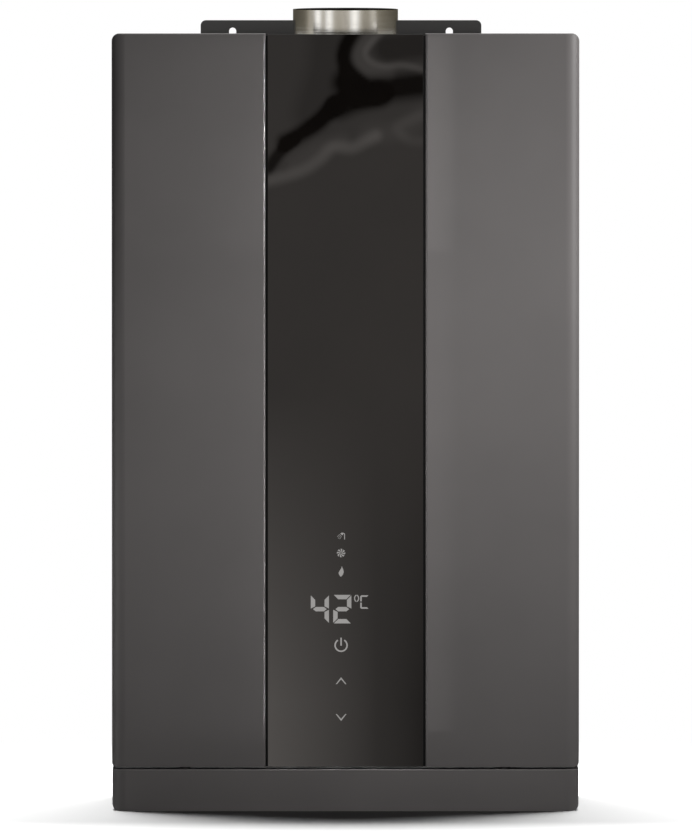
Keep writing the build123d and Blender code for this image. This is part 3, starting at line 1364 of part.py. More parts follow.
# Cord gland through the bottom plate and the floor of the control box
gland_nut_z = box_z + box_wall + main_board_gap
with BuildPart() as cord_gland:
    rod_z(gland_x, gland_y, bottom_rise - gland_below, floor_z + gland_above, gland_radius)
    rod_z(gland_x, gland_y, bottom_rise - gland_collar, bottom_rise, gland_collar_radius)
    rod_z(gland_x, gland_y, gland_nut_z, gland_nut_z + gland_collar, gland_nut_radius)
    rod_z(gland_x, gland_y, bottom_rise - gland_below - overrun, floor_z + gland_above + overrun,
          gland_bore,
          Mode.SUBTRACT)

# Display lead with its plug on the control box, and the leads inside the case
lead_z = box_mid_z
display_left_x = display_offset - housing_x
plug_x = box_high_x - plug_width
plug_y = box_front_y - lid_thickness
display_mid_y = (channel_back_y + housing_back_y) / 2
with BuildPart() as display_lead:
    add(bent_tube([(display_left_x, display_mid_y, lead_z), (plug_x, display_mid_y, lead_z),
                   (plug_x, plug_y - plug_depth / 2, lead_z)], lead_radius,
                  plug_y - plug_depth - display_mid_y))
    block(plug_x - plug_width / 2, plug_x + plug_width / 2, plug_y - plug_depth, plug_y,
          lead_z - plug_height / 2,
          lead_z + plug_height / 2)

igniter_mid_x = stack_x + igniter_width / 2
box_top_z = box_z + box_height
lead_mid_y = (box_front_y + box_back_y) / 2
flame_column_x = -pipe_x + lead_step
fan_column_x = -pipe_x - lead_step
motor_mid_y = (motor_front_y + motor_back_y) / 2
motor_low_z = fan_z - motor_radius
coil_mid_x = valve_right_x + coil_length / 2
prop_lead_x = valve_left_x - coil_length / 2
lead_routes = []
for x, y, column_x, share in zip(electrode_places, (lead_low_y, lead_y),
                                 (igniter_mid_x - lead_step, igniter_mid_x + lead_step), spark_shares):
    end_z = igniter_z + share * igniter_height
    lead_routes.append([(x, electrode_end_y, electrode_z), (x, y, electrode_z), (column_x, y, electrode_z),
                        (column_x, y, end_z), (column_x, igniter_y, end_z)])
flame_x = electrode_places[-1]
lead_routes.append([(flame_x, electrode_end_y, electrode_z), (flame_x, lead_y, electrode_z),
                    (flame_column_x, lead_y, electrode_z),
                    (flame_column_x, lead_mid_y, box_top_z + lead_drop),
                    (flame_column_x, lead_mid_y, box_top_z)])
lead_routes.append([(fan_x, motor_mid_y, motor_low_z), (fan_x, motor_mid_y, motor_low_z - lead_fall),
                    (fan_column_x, lead_y, hood_z - lead_drop),
                    (fan_column_x, lead_mid_y, box_top_z + lead_drop),
                    (fan_column_x, lead_mid_y, box_top_z)])
for z in shut_zs:
    lead_routes.append([(coil_mid_x, gas_y - shut_coil_radius, z), (coil_mid_x, lead_mid_y, z),
                        (box_high_x, lead_mid_y, z)])
lead_routes.append([(prop_lead_x, gas_y - prop_coil_radius, valve_mid_z),
                    (prop_lead_x, lead_mid_y, valve_mid_z),
                    (box_high_x, lead_mid_y, valve_mid_z)])
flow_lead_y = (sensor_y - sensor_depth + lead_mid_y) / 2
flow_lead_z = (sensor_mid_z + floor_z) / 2
lead_routes.append([(pipe_x, sensor_y - sensor_depth, sensor_mid_z), (pipe_x, flow_lead_y, sensor_mid_z),
                    (pipe_x, lead_mid_y, flow_lead_z), (box_high_x, lead_mid_y, flow_lead_z)])
with BuildPart() as wiring:
    for route in lead_routes:
        add(bent_tube(route, lead_radius, lead_bend))

pieces = {
    "front_cover": front_cover, "glass_panel": glass_panel, "glass_tape": glass_tape,
    "display_housing": display_housing, "display_board": display_board, "touch_springs": touch_springs,
    "display_lead": display_lead, "lower_cover": lower_cover, "back_plate": back_plate,
    "wall_bracket": wall_bracket, "lower_bracket": lower_bracket, "bracket_rivets": bracket_rivets,
    "top_plate": top_plate, "bottom_plate": bottom_plate, "cover_studs": cover_studs,
    "chassis_screws": chassis_screws, "flue_collar": flue_collar, "flue_gasket": flue_gasket,
    "flue_flap": flue_flap, "fan_housing": fan_housing, "fan_impeller": fan_impeller,
    "fan_shaft": fan_shaft,
    "fan_motor": fan_motor, "exhaust_hood": exhaust_hood, "chamber_shell": chamber_shell,
    "heat_exchanger_fins": fins, "fin_tubes": fin_tubes, "wrap_coil": wrap_coil, "burner_box": burner_box,
    "burner_bars": burner_bars, "gas_manifold": gas_manifold, "gas_nozzles": gas_nozzles,
    "electrodes": electrodes, "igniter": igniter, "stack_brackets": stack_brackets, "gas_inlet": gas_inlet,
    "gas_valve_body": gas_valve_body, "valve_coils": valve_coils, "upper_plunger": upper_plunger,
    "lower_plunger": lower_plunger, "proportional_plunger": proportional_plunger,
    "gas_pipe": gas_pipe, "cold_inlet_body": cold_inlet_body, "flow_turbine": flow_turbine,
    "flow_sensor": flow_sensor, "inlet_filter": inlet_filter, "drain_plug": drain_plug,
    "hot_outlet": hot_outlet,
    "pipe_locknuts": pipe_locknuts, "cold_pipe": cold_pipe, "hot_pipe": hot_pipe,
    "water_sensors": water_sensors,
    "control_box": control_box, "control_box_lid": control_box_lid, "main_board": main_board,
    "pressure_switch": pressure_switch, "pressure_hose": pressure_hose, "cord_gland": cord_gland,
    "wiring": wiring,
}

os.makedirs("parts", exist_ok=True)
for name, piece in pieces.items():
    piece.part.label = name
    export_step(piece.part, f"parts/{name}.step")
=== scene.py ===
import json
import math

import bmesh
import bpy
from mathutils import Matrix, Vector


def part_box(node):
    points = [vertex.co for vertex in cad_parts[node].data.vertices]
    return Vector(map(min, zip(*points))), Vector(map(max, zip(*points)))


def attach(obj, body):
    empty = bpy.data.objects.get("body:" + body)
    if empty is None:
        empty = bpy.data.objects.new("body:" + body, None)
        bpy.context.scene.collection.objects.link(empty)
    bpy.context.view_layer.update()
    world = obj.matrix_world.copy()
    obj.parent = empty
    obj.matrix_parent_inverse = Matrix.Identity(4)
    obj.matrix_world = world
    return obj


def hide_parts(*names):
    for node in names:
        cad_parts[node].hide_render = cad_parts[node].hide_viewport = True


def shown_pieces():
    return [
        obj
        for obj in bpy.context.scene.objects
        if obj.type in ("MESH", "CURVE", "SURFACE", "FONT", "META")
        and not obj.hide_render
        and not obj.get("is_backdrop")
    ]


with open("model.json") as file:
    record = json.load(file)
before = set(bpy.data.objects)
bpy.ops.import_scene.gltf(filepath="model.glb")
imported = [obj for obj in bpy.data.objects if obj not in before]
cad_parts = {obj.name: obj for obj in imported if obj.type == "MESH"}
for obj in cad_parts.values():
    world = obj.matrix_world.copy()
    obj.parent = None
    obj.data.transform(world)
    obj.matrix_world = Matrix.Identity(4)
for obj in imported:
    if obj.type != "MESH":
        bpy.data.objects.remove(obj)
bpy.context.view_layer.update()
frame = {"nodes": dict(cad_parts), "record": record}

# Looks of a wall-hung gas water heater, in metres, in the frame of its solids.

# Camera, for an image of 692 by 839 pixels
camera_place = (0.0004, -14.0, 0.966)
camera_aim = (0.0004, -0.0875, 0.2937)
camera_lens = 798.5
camera_sensor = 36.0
camera_near = 0.1
camera_far = 60.0

# Signs on the glass: heights are above the floor, the middle is that of the display
sign_skin = 0.00006
sign_shift = 0.00022
curve_steps = 24

# The two digits, the degree ring and the unit mark
digit_width = 0.0136
digit_height = 0.0214
digit_low = 0.1408
digit_stroke = 0.0033
digit_cut = 0.00045
digit_lefts = (-0.0227, -0.0059)
degree_middle = (0.0116, 0.1596)
degree_radii = (0.0019, 0.0027)
degree_stroke = 0.0008
degree_gap_angle = 0.12
unit_left = 0.0143
unit_low = 0.1518
unit_width = 0.0062
unit_height = 0.0101
unit_stroke = 0.0012
unit_corner = 0.0009

# The shower head, the fan and the flame
tap_height = 0.2062
tap_stroke = 0.0006
tap_reach = 0.0029
tap_bend = 0.0014
tap_top = 0.0026
tap_foot = 0.0024
tap_head = ((-0.0007, 0.0018), (0.0004, 0.0027), (0.0019, 0.0025), (0.0012, 0.0007))
spray_lines = (((-0.0010, 0.0013), (-0.0031, -0.0004)), ((-0.0005, 0.0007), (-0.0026, -0.0021)),
               ((0.0003, 0.0003), (-0.0012, -0.0024)))
spray_dashes = 3
spray_width = 0.0005
spray_fill_share = 0.52
fan_height = 0.1936
fan_radius = 0.0032
fan_hub = 0.0004
fan_blades = 8
blade_fill_share = 0.58
blade_swirl_share = 0.7
flame_low = 0.1757
flame_tall = 0.0081
flame_width = 0.0039
flame_shares = ((0.46, 0.0), (0.86, 0.22), (1.0, 0.44), (0.94, 0.64), (0.80, 0.81), (0.64, 1.0),
                (0.54, 0.80), (0.22, 0.58), (0.0, 0.36), (0.16, 0.16))

# The power sign and the two arrow heads
power_height = 0.1244
power_radius = 0.0045
power_stroke = 0.0011
power_bar_low = 0.1241
power_bar_high = 0.1301
power_gap_angle = math.radians(32)
up_apex_height = 0.1004
down_apex_height = 0.0676
chevron_reach = 0.0036
chevron_tall = 0.0052
chevron_stroke = 0.0009

# Threads of the stubs, whose radius the record gives in millimetres
millimetre = 0.001
thread_pitch = 0.001814
thread_depth = 0.00095
thread_turn_steps = 8
thread_round_steps = 64
thread_match = 0.00002
smooth_angle = math.radians(32)

# Sizes of the grain in the finishes
paint_grain = 0.0011
paint_cloud = 0.09
glass_cloud = 0.05
foam_cell = 0.0009
plastic_grain = 0.0006
plastic_cloud = 0.03
board_trace = 0.0024
board_pad = 0.0032
spangle_size = 0.009
brush_grain = 0.0004
brush_length = 0.06
tarnish_cloud = 0.025
cast_grain = 0.0014
speck_size = 0.0008
lead_grain = 0.0012
turning_pitch = 0.0006
fine_depth = 0.00003
coarse_depth = 0.00015

# Noise: its detail, and the middle range that is spread over shades and roughness
noise_detail = 3.0
brush_detail = 6.0
noise_low = 0.3
noise_high = 0.7

# Colours of the finishes; stops are places along a factor with their colours
white = (1.0, 1.0, 1.0)
case_colour = (0.090, 0.0845, 0.0835)
# Near black of the painted shade in the glass channel and in the gap under the front cover
painted_shade_colour = (0.006, 0.006, 0.006)
glass_colour = (0.0040, 0.0031, 0.0026)
sign_colour = (0.03, 0.03, 0.03)
sign_glow = (0.262, 0.255, 0.248)
foam_colour = (0.02, 0.02, 0.021)
black_colour = (0.021, 0.021, 0.022)
white_colour = (0.72, 0.71, 0.68)
track_stops = ((0.0, (0.012, 0.075, 0.035)), (0.12, (0.02, 0.12, 0.055)), (0.2, (0.008, 0.05, 0.022)))
pad_stops = ((0.0, white), (0.16, (0.0, 0.0, 0.0)))
pad_colour = (0.62, 0.58, 0.5)
lead_stops = ((0.0, (0.02, 0.02, 0.02)), (0.3, (0.36, 0.03, 0.025)), (0.5, (0.5, 0.48, 0.45)),
              (0.68, (0.03, 0.08, 0.3)), (0.85, (0.5, 0.38, 0.04)))
bracket_colour = (0.098, 0.0945, 0.092)
spangle_stops = ((0.1, (0.46, 0.47, 0.48)), (0.5, (0.56, 0.57, 0.58)), (0.9, (0.64, 0.65, 0.66)))
flue_colour = (0.66, 0.64, 0.60)
# Dark colour of the painted shade inside the flue tube
tube_shade_colour = (0.10, 0.092, 0.085)
spring_colour = (0.55, 0.55, 0.56)
motor_colour = (0.33, 0.33, 0.35)
copper_stops = ((0.3, (0.62, 0.27, 0.15)), (0.55, (0.72, 0.34, 0.2)), (0.75, (0.5, 0.2, 0.13)))
brass_colour = (0.66, 0.48, 0.2)
alloy_colour = (0.5, 0.5, 0.51)
ceramic_stops = ((0.05, (0.5, 0.46, 0.4)), (0.25, (0.8, 0.78, 0.73)))

# How far the shades of a colour drift to both sides of it
case_drift_share = 0.05
glass_drift_share = 0.2
sign_drift_share = 0.1
glow_drift_share = 0.06
foam_drift_share = 0.3
black_drift_share = 0.2
white_drift_share = 0.05
bracket_drift_share = 0.1
brushed_drift_share = 0.06
brass_drift_share = 0.1
alloy_drift_share = 0.12

# Roughness of the finishes: one value, or the lowest and the highest
case_rough = (0.40, 0.47)
glass_rough = 0.015
sign_rough = 0.3
foam_rough = 0.9
black_rough = (0.42, 0.58)
white_rough = (0.38, 0.5)
board_rough = 0.35
lead_rough = 0.45
bracket_rough = (0.45, 0.6)
plated_rough = (0.34, 0.5)
flue_rough = 0.14
spring_rough = 0.26
motor_rough = 0.36
brushed_rough_drop = 0.05
brushed_rough_rise = 0.07
copper_rough = (0.24, 0.4)
brass_rough = (0.22, 0.36)
alloy_rough = (0.42, 0.58)
ceramic_rough = 0.4
floor_rough = 0.9

# Gloss of the paint, bending of light by the glass, and strength of the relief of the finishes
case_gloss = 0.16
glass_index = 1.46
case_relief = 0.05
foam_relief = 0.7
black_relief = 0.35
white_relief = 0.25
board_relief = 0.4
lead_relief = 0.4
bracket_relief = 0.4
plated_relief = 0.25
brushed_relief = 0.25
copper_relief = 0.2
brass_relief = 0.3
alloy_relief = 0.35
ceramic_relief = 0.3

# Painted shade: a near black colour in the channel behind the glass and in the gap under the front cover,
# where shade falls
glass_low, glass_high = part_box("glass_panel")
channel_margin = 0.0018
channel_start = 0.0020
channel_depth = 0.0060
gap_margin = 0.00008

# Painted shade inside the flue tube, up to this radius
flue_bore = 0.0389

# Floor, which fades into white; one colour for the camera, one in gloss and one for bounced light
floor_reach = 2.5
fade_start = 0.35
fade_end = 0.75
floor_seen = (0.40, 0.40, 0.40)
floor_mirrored = (0.155, 0.155, 0.155)
floor_bounce = (0.078, 0.078, 0.078)

# Lamps: place, aim, width, height, power in watts, what they light and how far their light spreads
soft = math.radians(180)
narrow = math.radians(50)
beam = math.radians(8)
lamp_values = {
    "floor_key": ((0.0, 0.48, 2.1), (0.0, 0.44, 0.0), 1.8, 0.52, 267.0, "floor", soft),
    "top_soft": ((0.0, 0.15, 1.9), (0.0, 0.05, 0.6), 1.2, 0.6, 16.0, "object", soft),
    "front_soft": ((0.125, -0.54, 0.385), (0.10, -0.08, 0.375), 0.22, 0.18, 2.2, "object", soft),
    "edge_right": ((0.52, -0.17, 0.54), (0.17, -0.08, 0.42), 0.2, 0.4, 3.3, "covers", soft),
    "bend_left": ((0.10, -0.0907, 0.32), (-0.0605, -0.0874, 0.32), 0.004, 0.52, 0.065, "covers", beam),
    "bend_left_top": ((0.10, -0.0907, 0.50), (-0.0605, -0.0874, 0.50), 0.004, 0.16, 0.026, "covers", beam),
    "bend_right": ((-0.10, -0.0907, 0.31), (0.0605, -0.0874, 0.31), 0.004, 0.52, 0.012, "covers", beam),
    "base_edge": ((0.02, -0.1045, 0.232), (0.02, -0.087, 0.0315), 0.06, 0.02, 0.50, "base", soft),
    "edge_left": ((-0.8, -0.15, 0.16), (-0.17, -0.08, 0.16), 0.2, 0.36, 0.21, "covers", narrow),
    "fill_left": ((-1.0, -0.7, 0.4), (-0.1, 0.0, 0.3), 0.6, 0.6, 0.12, "object", soft),
    "back_left": ((-0.7, 1.3, 0.7), (0.0, 0.0, 0.3), 0.8, 0.8, 9.0, "object", soft),
    "back_right": ((0.7, 1.3, 0.7), (0.0, 0.0, 0.3), 0.8, 0.8, 9.0, "object", soft),
}
world_level = 0.008

# Cards that only show in gloss; bands of the ring are an angle, a width in degrees and a rise in brightness
glass_card_gap = 0.40
card_columns = 72
card_rows = 270
ring_radius = 0.9
ring_low = 0.42
ring_high = 0.80
ring_steps = 240
ring_base = 0.52
ring_back = 0.10
ring_warm_shares = (0.0, 0.10, 0.32)
ring_bands = ((-82.0, 10.0, 0.25), (-62.0, 9.0, 1.15), (-36.0, 9.0, 1.0), (20.0, 10.0, 0.95),
              (62.0, 8.0, 0.34))
dark_card_values = {
    "dark_left": (-0.25, 0.565, (0.10, 0.095, 0.088)),
    "dark_right": (0.25, 0.565, (0.05, 0.047, 0.044)),
}
dark_card_ys = (-0.35, 1.3)
dark_card_low = 0.002

# Soft strokes on the glass card: points across from its middle and down from its top, width, strength
dark_strokes = (
    (((0.0074, -0.0030), (0.0012, 0.0082), (-0.0007, 0.0185), (0.0028, 0.0279), (0.0100, 0.0365)),
     0.0095, 0.70),
    (((0.0012, 0.0365), (0.0141, 0.0417), (0.0313, 0.0404), (0.0614, 0.0370)), 0.0165, 0.72),
    (((-0.0044, 0.0545), (0.0085, 0.0495), (0.0240, 0.0460)), 0.0145, 0.72),
    (((-0.0083, 0.0529), (-0.0194, 0.0649), (-0.0332, 0.0744), (-0.0452, 0.0804)), 0.0100, 0.70),
    (((-0.0392, 0.0795), (-0.0495, 0.0890), (-0.0581, 0.1011)), 0.0075, 0.66),
    (((-0.0126, -0.0013), (-0.0151, 0.0279), (-0.0246, 0.0589)), 0.0240, 0.22),
    (((0.0322, 0.0107), (0.0614, 0.0073)), 0.0190, 0.42),
)
light_strokes = (
    (((0.0287, -0.0030), (0.0193, 0.0064), (0.0150, 0.0142), (0.0193, 0.0206), (0.0296, 0.0238),
      (0.0442, 0.0232), (0.0614, 0.0275)), 0.0045, 0.62),
    (((0.0184, 0.0022), (0.0094, 0.0125), (0.0107, 0.0202), (0.0184, 0.0271), (0.0322, 0.0292)),
     0.0085, 0.30),
    (((-0.0624, 0.1103), (-0.0461, 0.1064), (-0.0315, 0.1015), (-0.0194, 0.0937), (-0.0091, 0.0847),
      (0.0046, 0.0849), (0.0150, 0.0800), (0.0227, 0.0761)), 0.0080, 0.72),
    (((-0.0392, 0.0967), (-0.0194, 0.0847), (-0.0022, 0.0795)), 0.0095, 0.20),
    (((0.0614, 0.0590), (0.0468, 0.0645), (0.0390, 0.0702), (0.0468, 0.0787), (0.0614, 0.0800)),
     0.0070, 0.26),
    (((0.0180, 0.0745), (0.0330, 0.0735), (0.0450, 0.0700), (0.0614, 0.0580)), 0.0130, 0.20),
)
route_steps = 6
stroke_edge_share = 0.75

# Brightness of the glass card, which turns lighter on the left and darker on the right of its lower half
glass_glow = 0.77
least_glow = 0.02
glow_tint = (1.0, 0.93, 0.88)
low_glow_side = 0.4
low_left_glow = 0.95
low_right_drop = 0.42
low_glow_start = 0.27
low_glow_end = 0.50


# Helpers for shapes

def arc(middle, radii, start, end):
    """Points along a part of an ellipse, angles in radians from +X."""
    turns = [start + (end - start) * i / curve_steps for i in range(curve_steps + 1)]
    return [(middle[0] + radii[0] * math.cos(turn), middle[1] + radii[1] * math.sin(turn)) for turn in turns]


def ribbon(middle, radii, stroke, start, end):
    """Outline of a part of a ring."""
    inner = (radii[0] - stroke, radii[1] - stroke)
    return arc(middle, radii, start, end) + arc(middle, inner, end, start)


def mesh_object(name, build, finish, body):
    """A finished mesh that rides on a body."""
    bmesh.ops.recalc_face_normals(build, faces=build.faces)
    mesh = bpy.data.meshes.new(name)
    build.to_mesh(mesh)
    build.free()
    piece = bpy.data.objects.new(name, mesh)
    bpy.context.scene.collection.objects.link(piece)
    mesh.materials.append(finish)
    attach(piece, body)
    return piece


def sign(name, outlines):
    """Thin plates on the front of the glass, one for each outline of points across and up."""
    build = bmesh.new()
    for outline in outlines:
        rear = [build.verts.new((sign_x + x, glass_y, z)) for x, z in outline]
        front = [build.verts.new((sign_x + x, glass_y - sign_skin, z)) for x, z in outline]
        build.faces.new(rear)
        build.faces.new(front)
        for i in range(len(outline)):
            build.faces.new((rear[i - 1], rear[i], front[i], front[i - 1]))
    return mesh_object(name, build, finishes["sign_light"], "cover")


def segments(left, low, lit):
    """Outlines of the lit segments of a digit."""
    wide, tall, thick, cut = digit_width, digit_height, digit_stroke, digit_cut
    middle = tall / 2
    above = (tall + thick) / 2
    below = (tall - thick) / 2
    shapes = {
        "top": [(cut, tall), (wide - cut, tall), (wide - thick - cut, tall - thick),
                (thick + cut, tall - thick)],
        "left_high": [(0, tall - cut), (thick, tall - thick - cut), (thick, above + cut), (0, middle + cut)],
        "right_high": [(wide, tall - cut), (wide - thick, tall - thick - cut), (wide - thick, above + cut),
                       (wide, middle + cut)],
        "middle": [(thick / 2, middle), (thick + cut, above), (wide - thick - cut, above),
                   (wide - thick / 2, middle), (wide - thick - cut, below), (thick + cut, below)],
        "left_low": [(0, cut), (thick, thick + cut), (thick, below - cut), (0, middle - cut)],
        "right_low": [(wide, cut), (wide - thick, thick + cut), (wide - thick, below - cut),
                      (wide, middle - cut)],
        "low": [(cut, 0), (wide - cut, 0), (wide - thick - cut, thick), (thick + cut, thick)],
    }
    return [[(left + x, low + z) for x, z in shapes[part]] for part in lit]


def unit_outlines():
    """Outlines of the lower and the upper half of the unit mark."""
    shapes = []
    for edge, inward in ((unit_low, 1), (unit_low + unit_height, -1)):
        inner_edge = edge + inward * unit_stroke
        end = edge + inward * (unit_height / 2 - digit_cut)
        shapes.append([(unit_left, edge + inward * unit_corner), (unit_left + unit_corner, edge),
                       (unit_left + unit_width, edge), (unit_left + unit_width - unit_stroke, inner_edge),
                       (unit_left + unit_stroke, inner_edge), (unit_left + unit_stroke, end),
                       (unit_left, end)])
    return shapes


def power_outlines():
    """Outlines of an open ring and the bar in its gap."""
    radius = power_radius + power_stroke / 2
    half = power_stroke / 2
    top = math.pi / 2
    return [ribbon((0, power_height), (radius, radius), power_stroke, top + power_gap_angle,
                   top + 2 * math.pi - power_gap_angle),
            [(-half, power_bar_low), (half, power_bar_low), (half, power_bar_high), (-half, power_bar_high)]]


def chevron(apex_height, direction):
    """Outline of an open arrow head that points up or down."""
    thick = chevron_stroke * math.hypot(chevron_reach, chevron_tall) / chevron_reach
    side = chevron_reach + chevron_stroke / 2
    rise = -direction * chevron_tall
    return [(0, apex_height), (side, apex_height + rise), (side - chevron_stroke, apex_height + rise),
            (0, apex_height - direction * thick), (chevron_stroke - side, apex_height + rise),
            (-side, apex_height + rise)]


def fan_outline(turn):
    """Outline of one swept blade of the fan sign."""
    step = 2 * math.pi / fan_blades

    def edge(offset):
        points = []
        for i in range(curve_steps + 1):
            along = i / curve_steps
            radius = fan_hub + (fan_radius - fan_hub) * along
            angle = turn + offset * step + blade_swirl_share * step * along
            points.append((radius * math.cos(angle), fan_height + radius * math.sin(angle)))
        return points

    return edge(0) + edge(blade_fill_share)[::-1]


def flame_outline():
    """Outline of a leaning flame with a sharp tip."""
    return [(flame_width * across - flame_width / 2, flame_low + flame_tall * up)
            for across, up in flame_shares]


def tap_outlines():
    """Outlines of a shower head on a bent pipe, with its spray in dashes."""
    bend = (tap_reach - tap_bend, tap_height + tap_top - tap_bend)
    foot = tap_height - tap_foot
    inner_bend = tap_bend - tap_stroke
    outer = arc(bend, (tap_bend, tap_bend), 0, math.pi / 2)
    inner = arc(bend, (inner_bend, inner_bend), math.pi / 2, 0)
    shapes = [[(tap_reach, foot), *outer, *inner, (tap_reach - tap_stroke, foot)],
              [(x, tap_height + z) for x, z in tap_head]]
    for start, end in spray_lines:
        run = Vector(end) - Vector(start)
        step = run / spray_dashes
        side = Vector((-run.y, run.x)).normalized() * spray_width / 2
        for i in range(spray_dashes):
            near = Vector(start) + step * i
            far = near + step * spray_fill_share
            corners = (near - side, far - side, far + side, near + side)
            shapes.append([(corner.x, tap_height + corner.y) for corner in corners])
    return shapes


def threaded(name, node, mount_name, finish):
    """A copy of a stub whose plain thread wall is cut into turns."""
    mount = next(m for m in frame["record"]["mounts"] if m["name"] == mount_name)
    x, y = mount["pos_m"][:2]
    radius = mount["dims"]["r_mm"] * millimetre
    build = bmesh.new()
    build.from_mesh(frame["nodes"][node].data)
    wall = [face for face in build.faces
            if all(abs(math.hypot(v.co.x - x, v.co.y - y) - radius) < thread_match for v in face.verts)]
    heights = [v.co.z for face in wall for v in face.verts]
    low = min(heights)
    high = max(heights)
    bmesh.ops.delete(build, geom=wall, context="FACES")
    rows = round((high - low) / thread_pitch * thread_turn_steps)
    rings = []
    for row in range(rows + 1):
        z = low + (high - low) * row / rows
        fade = min(1, (z - low) / thread_pitch, (high - z) / thread_pitch)
        ring = []
        for i in range(thread_round_steps):
            angle = 2 * math.pi * i / thread_round_steps
            phase = ((z - low) / thread_pitch - i / thread_round_steps) % 1
            reach = radius - thread_depth * fade * (1 - abs(2 * phase - 1))
            ring.append(build.verts.new((x + reach * math.cos(angle), y + reach * math.sin(angle), z)))
        rings.append(ring)
    for lower, upper in zip(rings, rings[1:]):
        for i in range(thread_round_steps):
            build.faces.new((lower[i - 1], lower[i], upper[i], upper[i - 1]))
    piece = mesh_object(name, build, finish, "chassis")
    piece.data.shade_smooth()
    piece.data.set_sharp_from_angle(angle=smooth_angle)
    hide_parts(node)
    return piece


# Helpers for finishes

def new_finish(name, metal=0.0, rough=0.5, **sockets):
    """A material and its shader, with constant values on the shader's own sockets."""
    finish = bpy.data.materials.new(name)
    finish.use_nodes = True
    shader = finish.node_tree.nodes["Principled BSDF"]
    shader.inputs["Metallic"].default_value = metal
    shader.inputs["Roughness"].default_value = rough
    for socket, value in sockets.items():
        shader.inputs[socket.replace("_", " ")].default_value = value
    finishes[name] = finish
    return finish.node_tree, shader


def noise(tree, size, stretch=(1, 1, 1), detail=noise_detail):
    """Noise of a grain size on the object's own coordinates; stretch divides the grain along each axis."""
    place = tree.nodes.new("ShaderNodeTexCoord")
    mapping = tree.nodes.new("ShaderNodeMapping")
    mapping.inputs["Scale"].default_value = stretch
    texture = tree.nodes.new("ShaderNodeTexNoise")
    texture.inputs["Scale"].default_value = 1 / size
    texture.inputs["Detail"].default_value = detail
    tree.links.new(place.outputs["Object"], mapping.inputs["Vector"])
    tree.links.new(mapping.outputs["Vector"], texture.inputs["Vector"])
    return texture.outputs["Fac"]


def cells(tree, size, feature="F1", output="Distance"):
    """Cells of a given size on the object's own coordinates."""
    place = tree.nodes.new("ShaderNodeTexCoord")
    texture = tree.nodes.new("ShaderNodeTexVoronoi")
    texture.feature = feature
    texture.inputs["Scale"].default_value = 1 / size
    tree.links.new(place.outputs["Object"], texture.inputs["Vector"])
    return texture.outputs[output]


def ramp(tree, factor, stops, mode="LINEAR"):
    """Colours along a factor."""
    node = tree.nodes.new("ShaderNodeValToRGB")
    node.color_ramp.interpolation = mode
    while len(node.color_ramp.elements) < len(stops):
        node.color_ramp.elements.new(1.0)
    for element, (position, colour) in zip(node.color_ramp.elements, stops):
        element.position = position
        element.color = (*colour, 1.0)
    tree.links.new(factor, node.inputs["Fac"])
    return node.outputs["Color"]


def drift(tree, colour, share, factor):
    """A colour that drifts between a darker and a lighter shade."""
    dark = tuple(part * (1 - share) for part in colour)
    light = tuple(part * (1 + share) for part in colour)
    return ramp(tree, factor, ((noise_low, dark), (noise_high, light)))


def clouded(tree, shader, colour, share, factor):
    """Base colour that drifts between two shades."""
    tree.links.new(drift(tree, colour, share, factor), shader.inputs["Base Color"])


def roughened(tree, shader, limits, factor):
    """Roughness that drifts between two limits."""
    node = tree.nodes.new("ShaderNodeMapRange")
    node.inputs["From Min"].default_value = noise_low
    node.inputs["From Max"].default_value = noise_high
    node.inputs["To Min"].default_value = limits[0]
    node.inputs["To Max"].default_value = limits[1]
    tree.links.new(factor, node.inputs["Value"])
    tree.links.new(node.outputs["Result"], shader.inputs["Roughness"])


def bump(tree, shader, height, depth, strength):
    """Relief of a depth on the shader's normal."""
    node = tree.nodes.new("ShaderNodeBump")
    node.inputs["Distance"].default_value = depth
    node.inputs["Strength"].default_value = strength
    tree.links.new(height, node.inputs["Height"])
    tree.links.new(node.outputs["Normal"], shader.inputs["Normal"])


def compare(tree, value, middle, reach):
    """One where a value lies within reach of a middle, and zero elsewhere."""
    node = tree.nodes.new("ShaderNodeMath")
    node.operation = "COMPARE"
    node.inputs[1].default_value = middle
    node.inputs[2].default_value = reach
    tree.links.new(value, node.inputs[0])
    return node.outputs["Value"]


def joined(tree, operation, first, second):
    """Two shares put together by a math operation and held between zero and one."""
    node = tree.nodes.new("ShaderNodeMath")
    node.operation = operation
    node.use_clamp = True
    tree.links.new(first, node.inputs[0])
    tree.links.new(second, node.inputs[1])
    return node.outputs["Value"]


def mixed(tree, factor, first, second):
    """A colour that goes from a first to a second one; each is three numbers or a socket."""
    node = tree.nodes.new("ShaderNodeMix")
    node.data_type = "RGBA"
    tree.links.new(factor, node.inputs["Factor"])
    for socket, colour in (("A", first), ("B", second)):
        if isinstance(colour, tuple):
            node.inputs[socket].default_value = (*colour, 1.0)
        else:
            tree.links.new(colour, node.inputs[socket])
    return node.outputs["Result"]


# Finishes

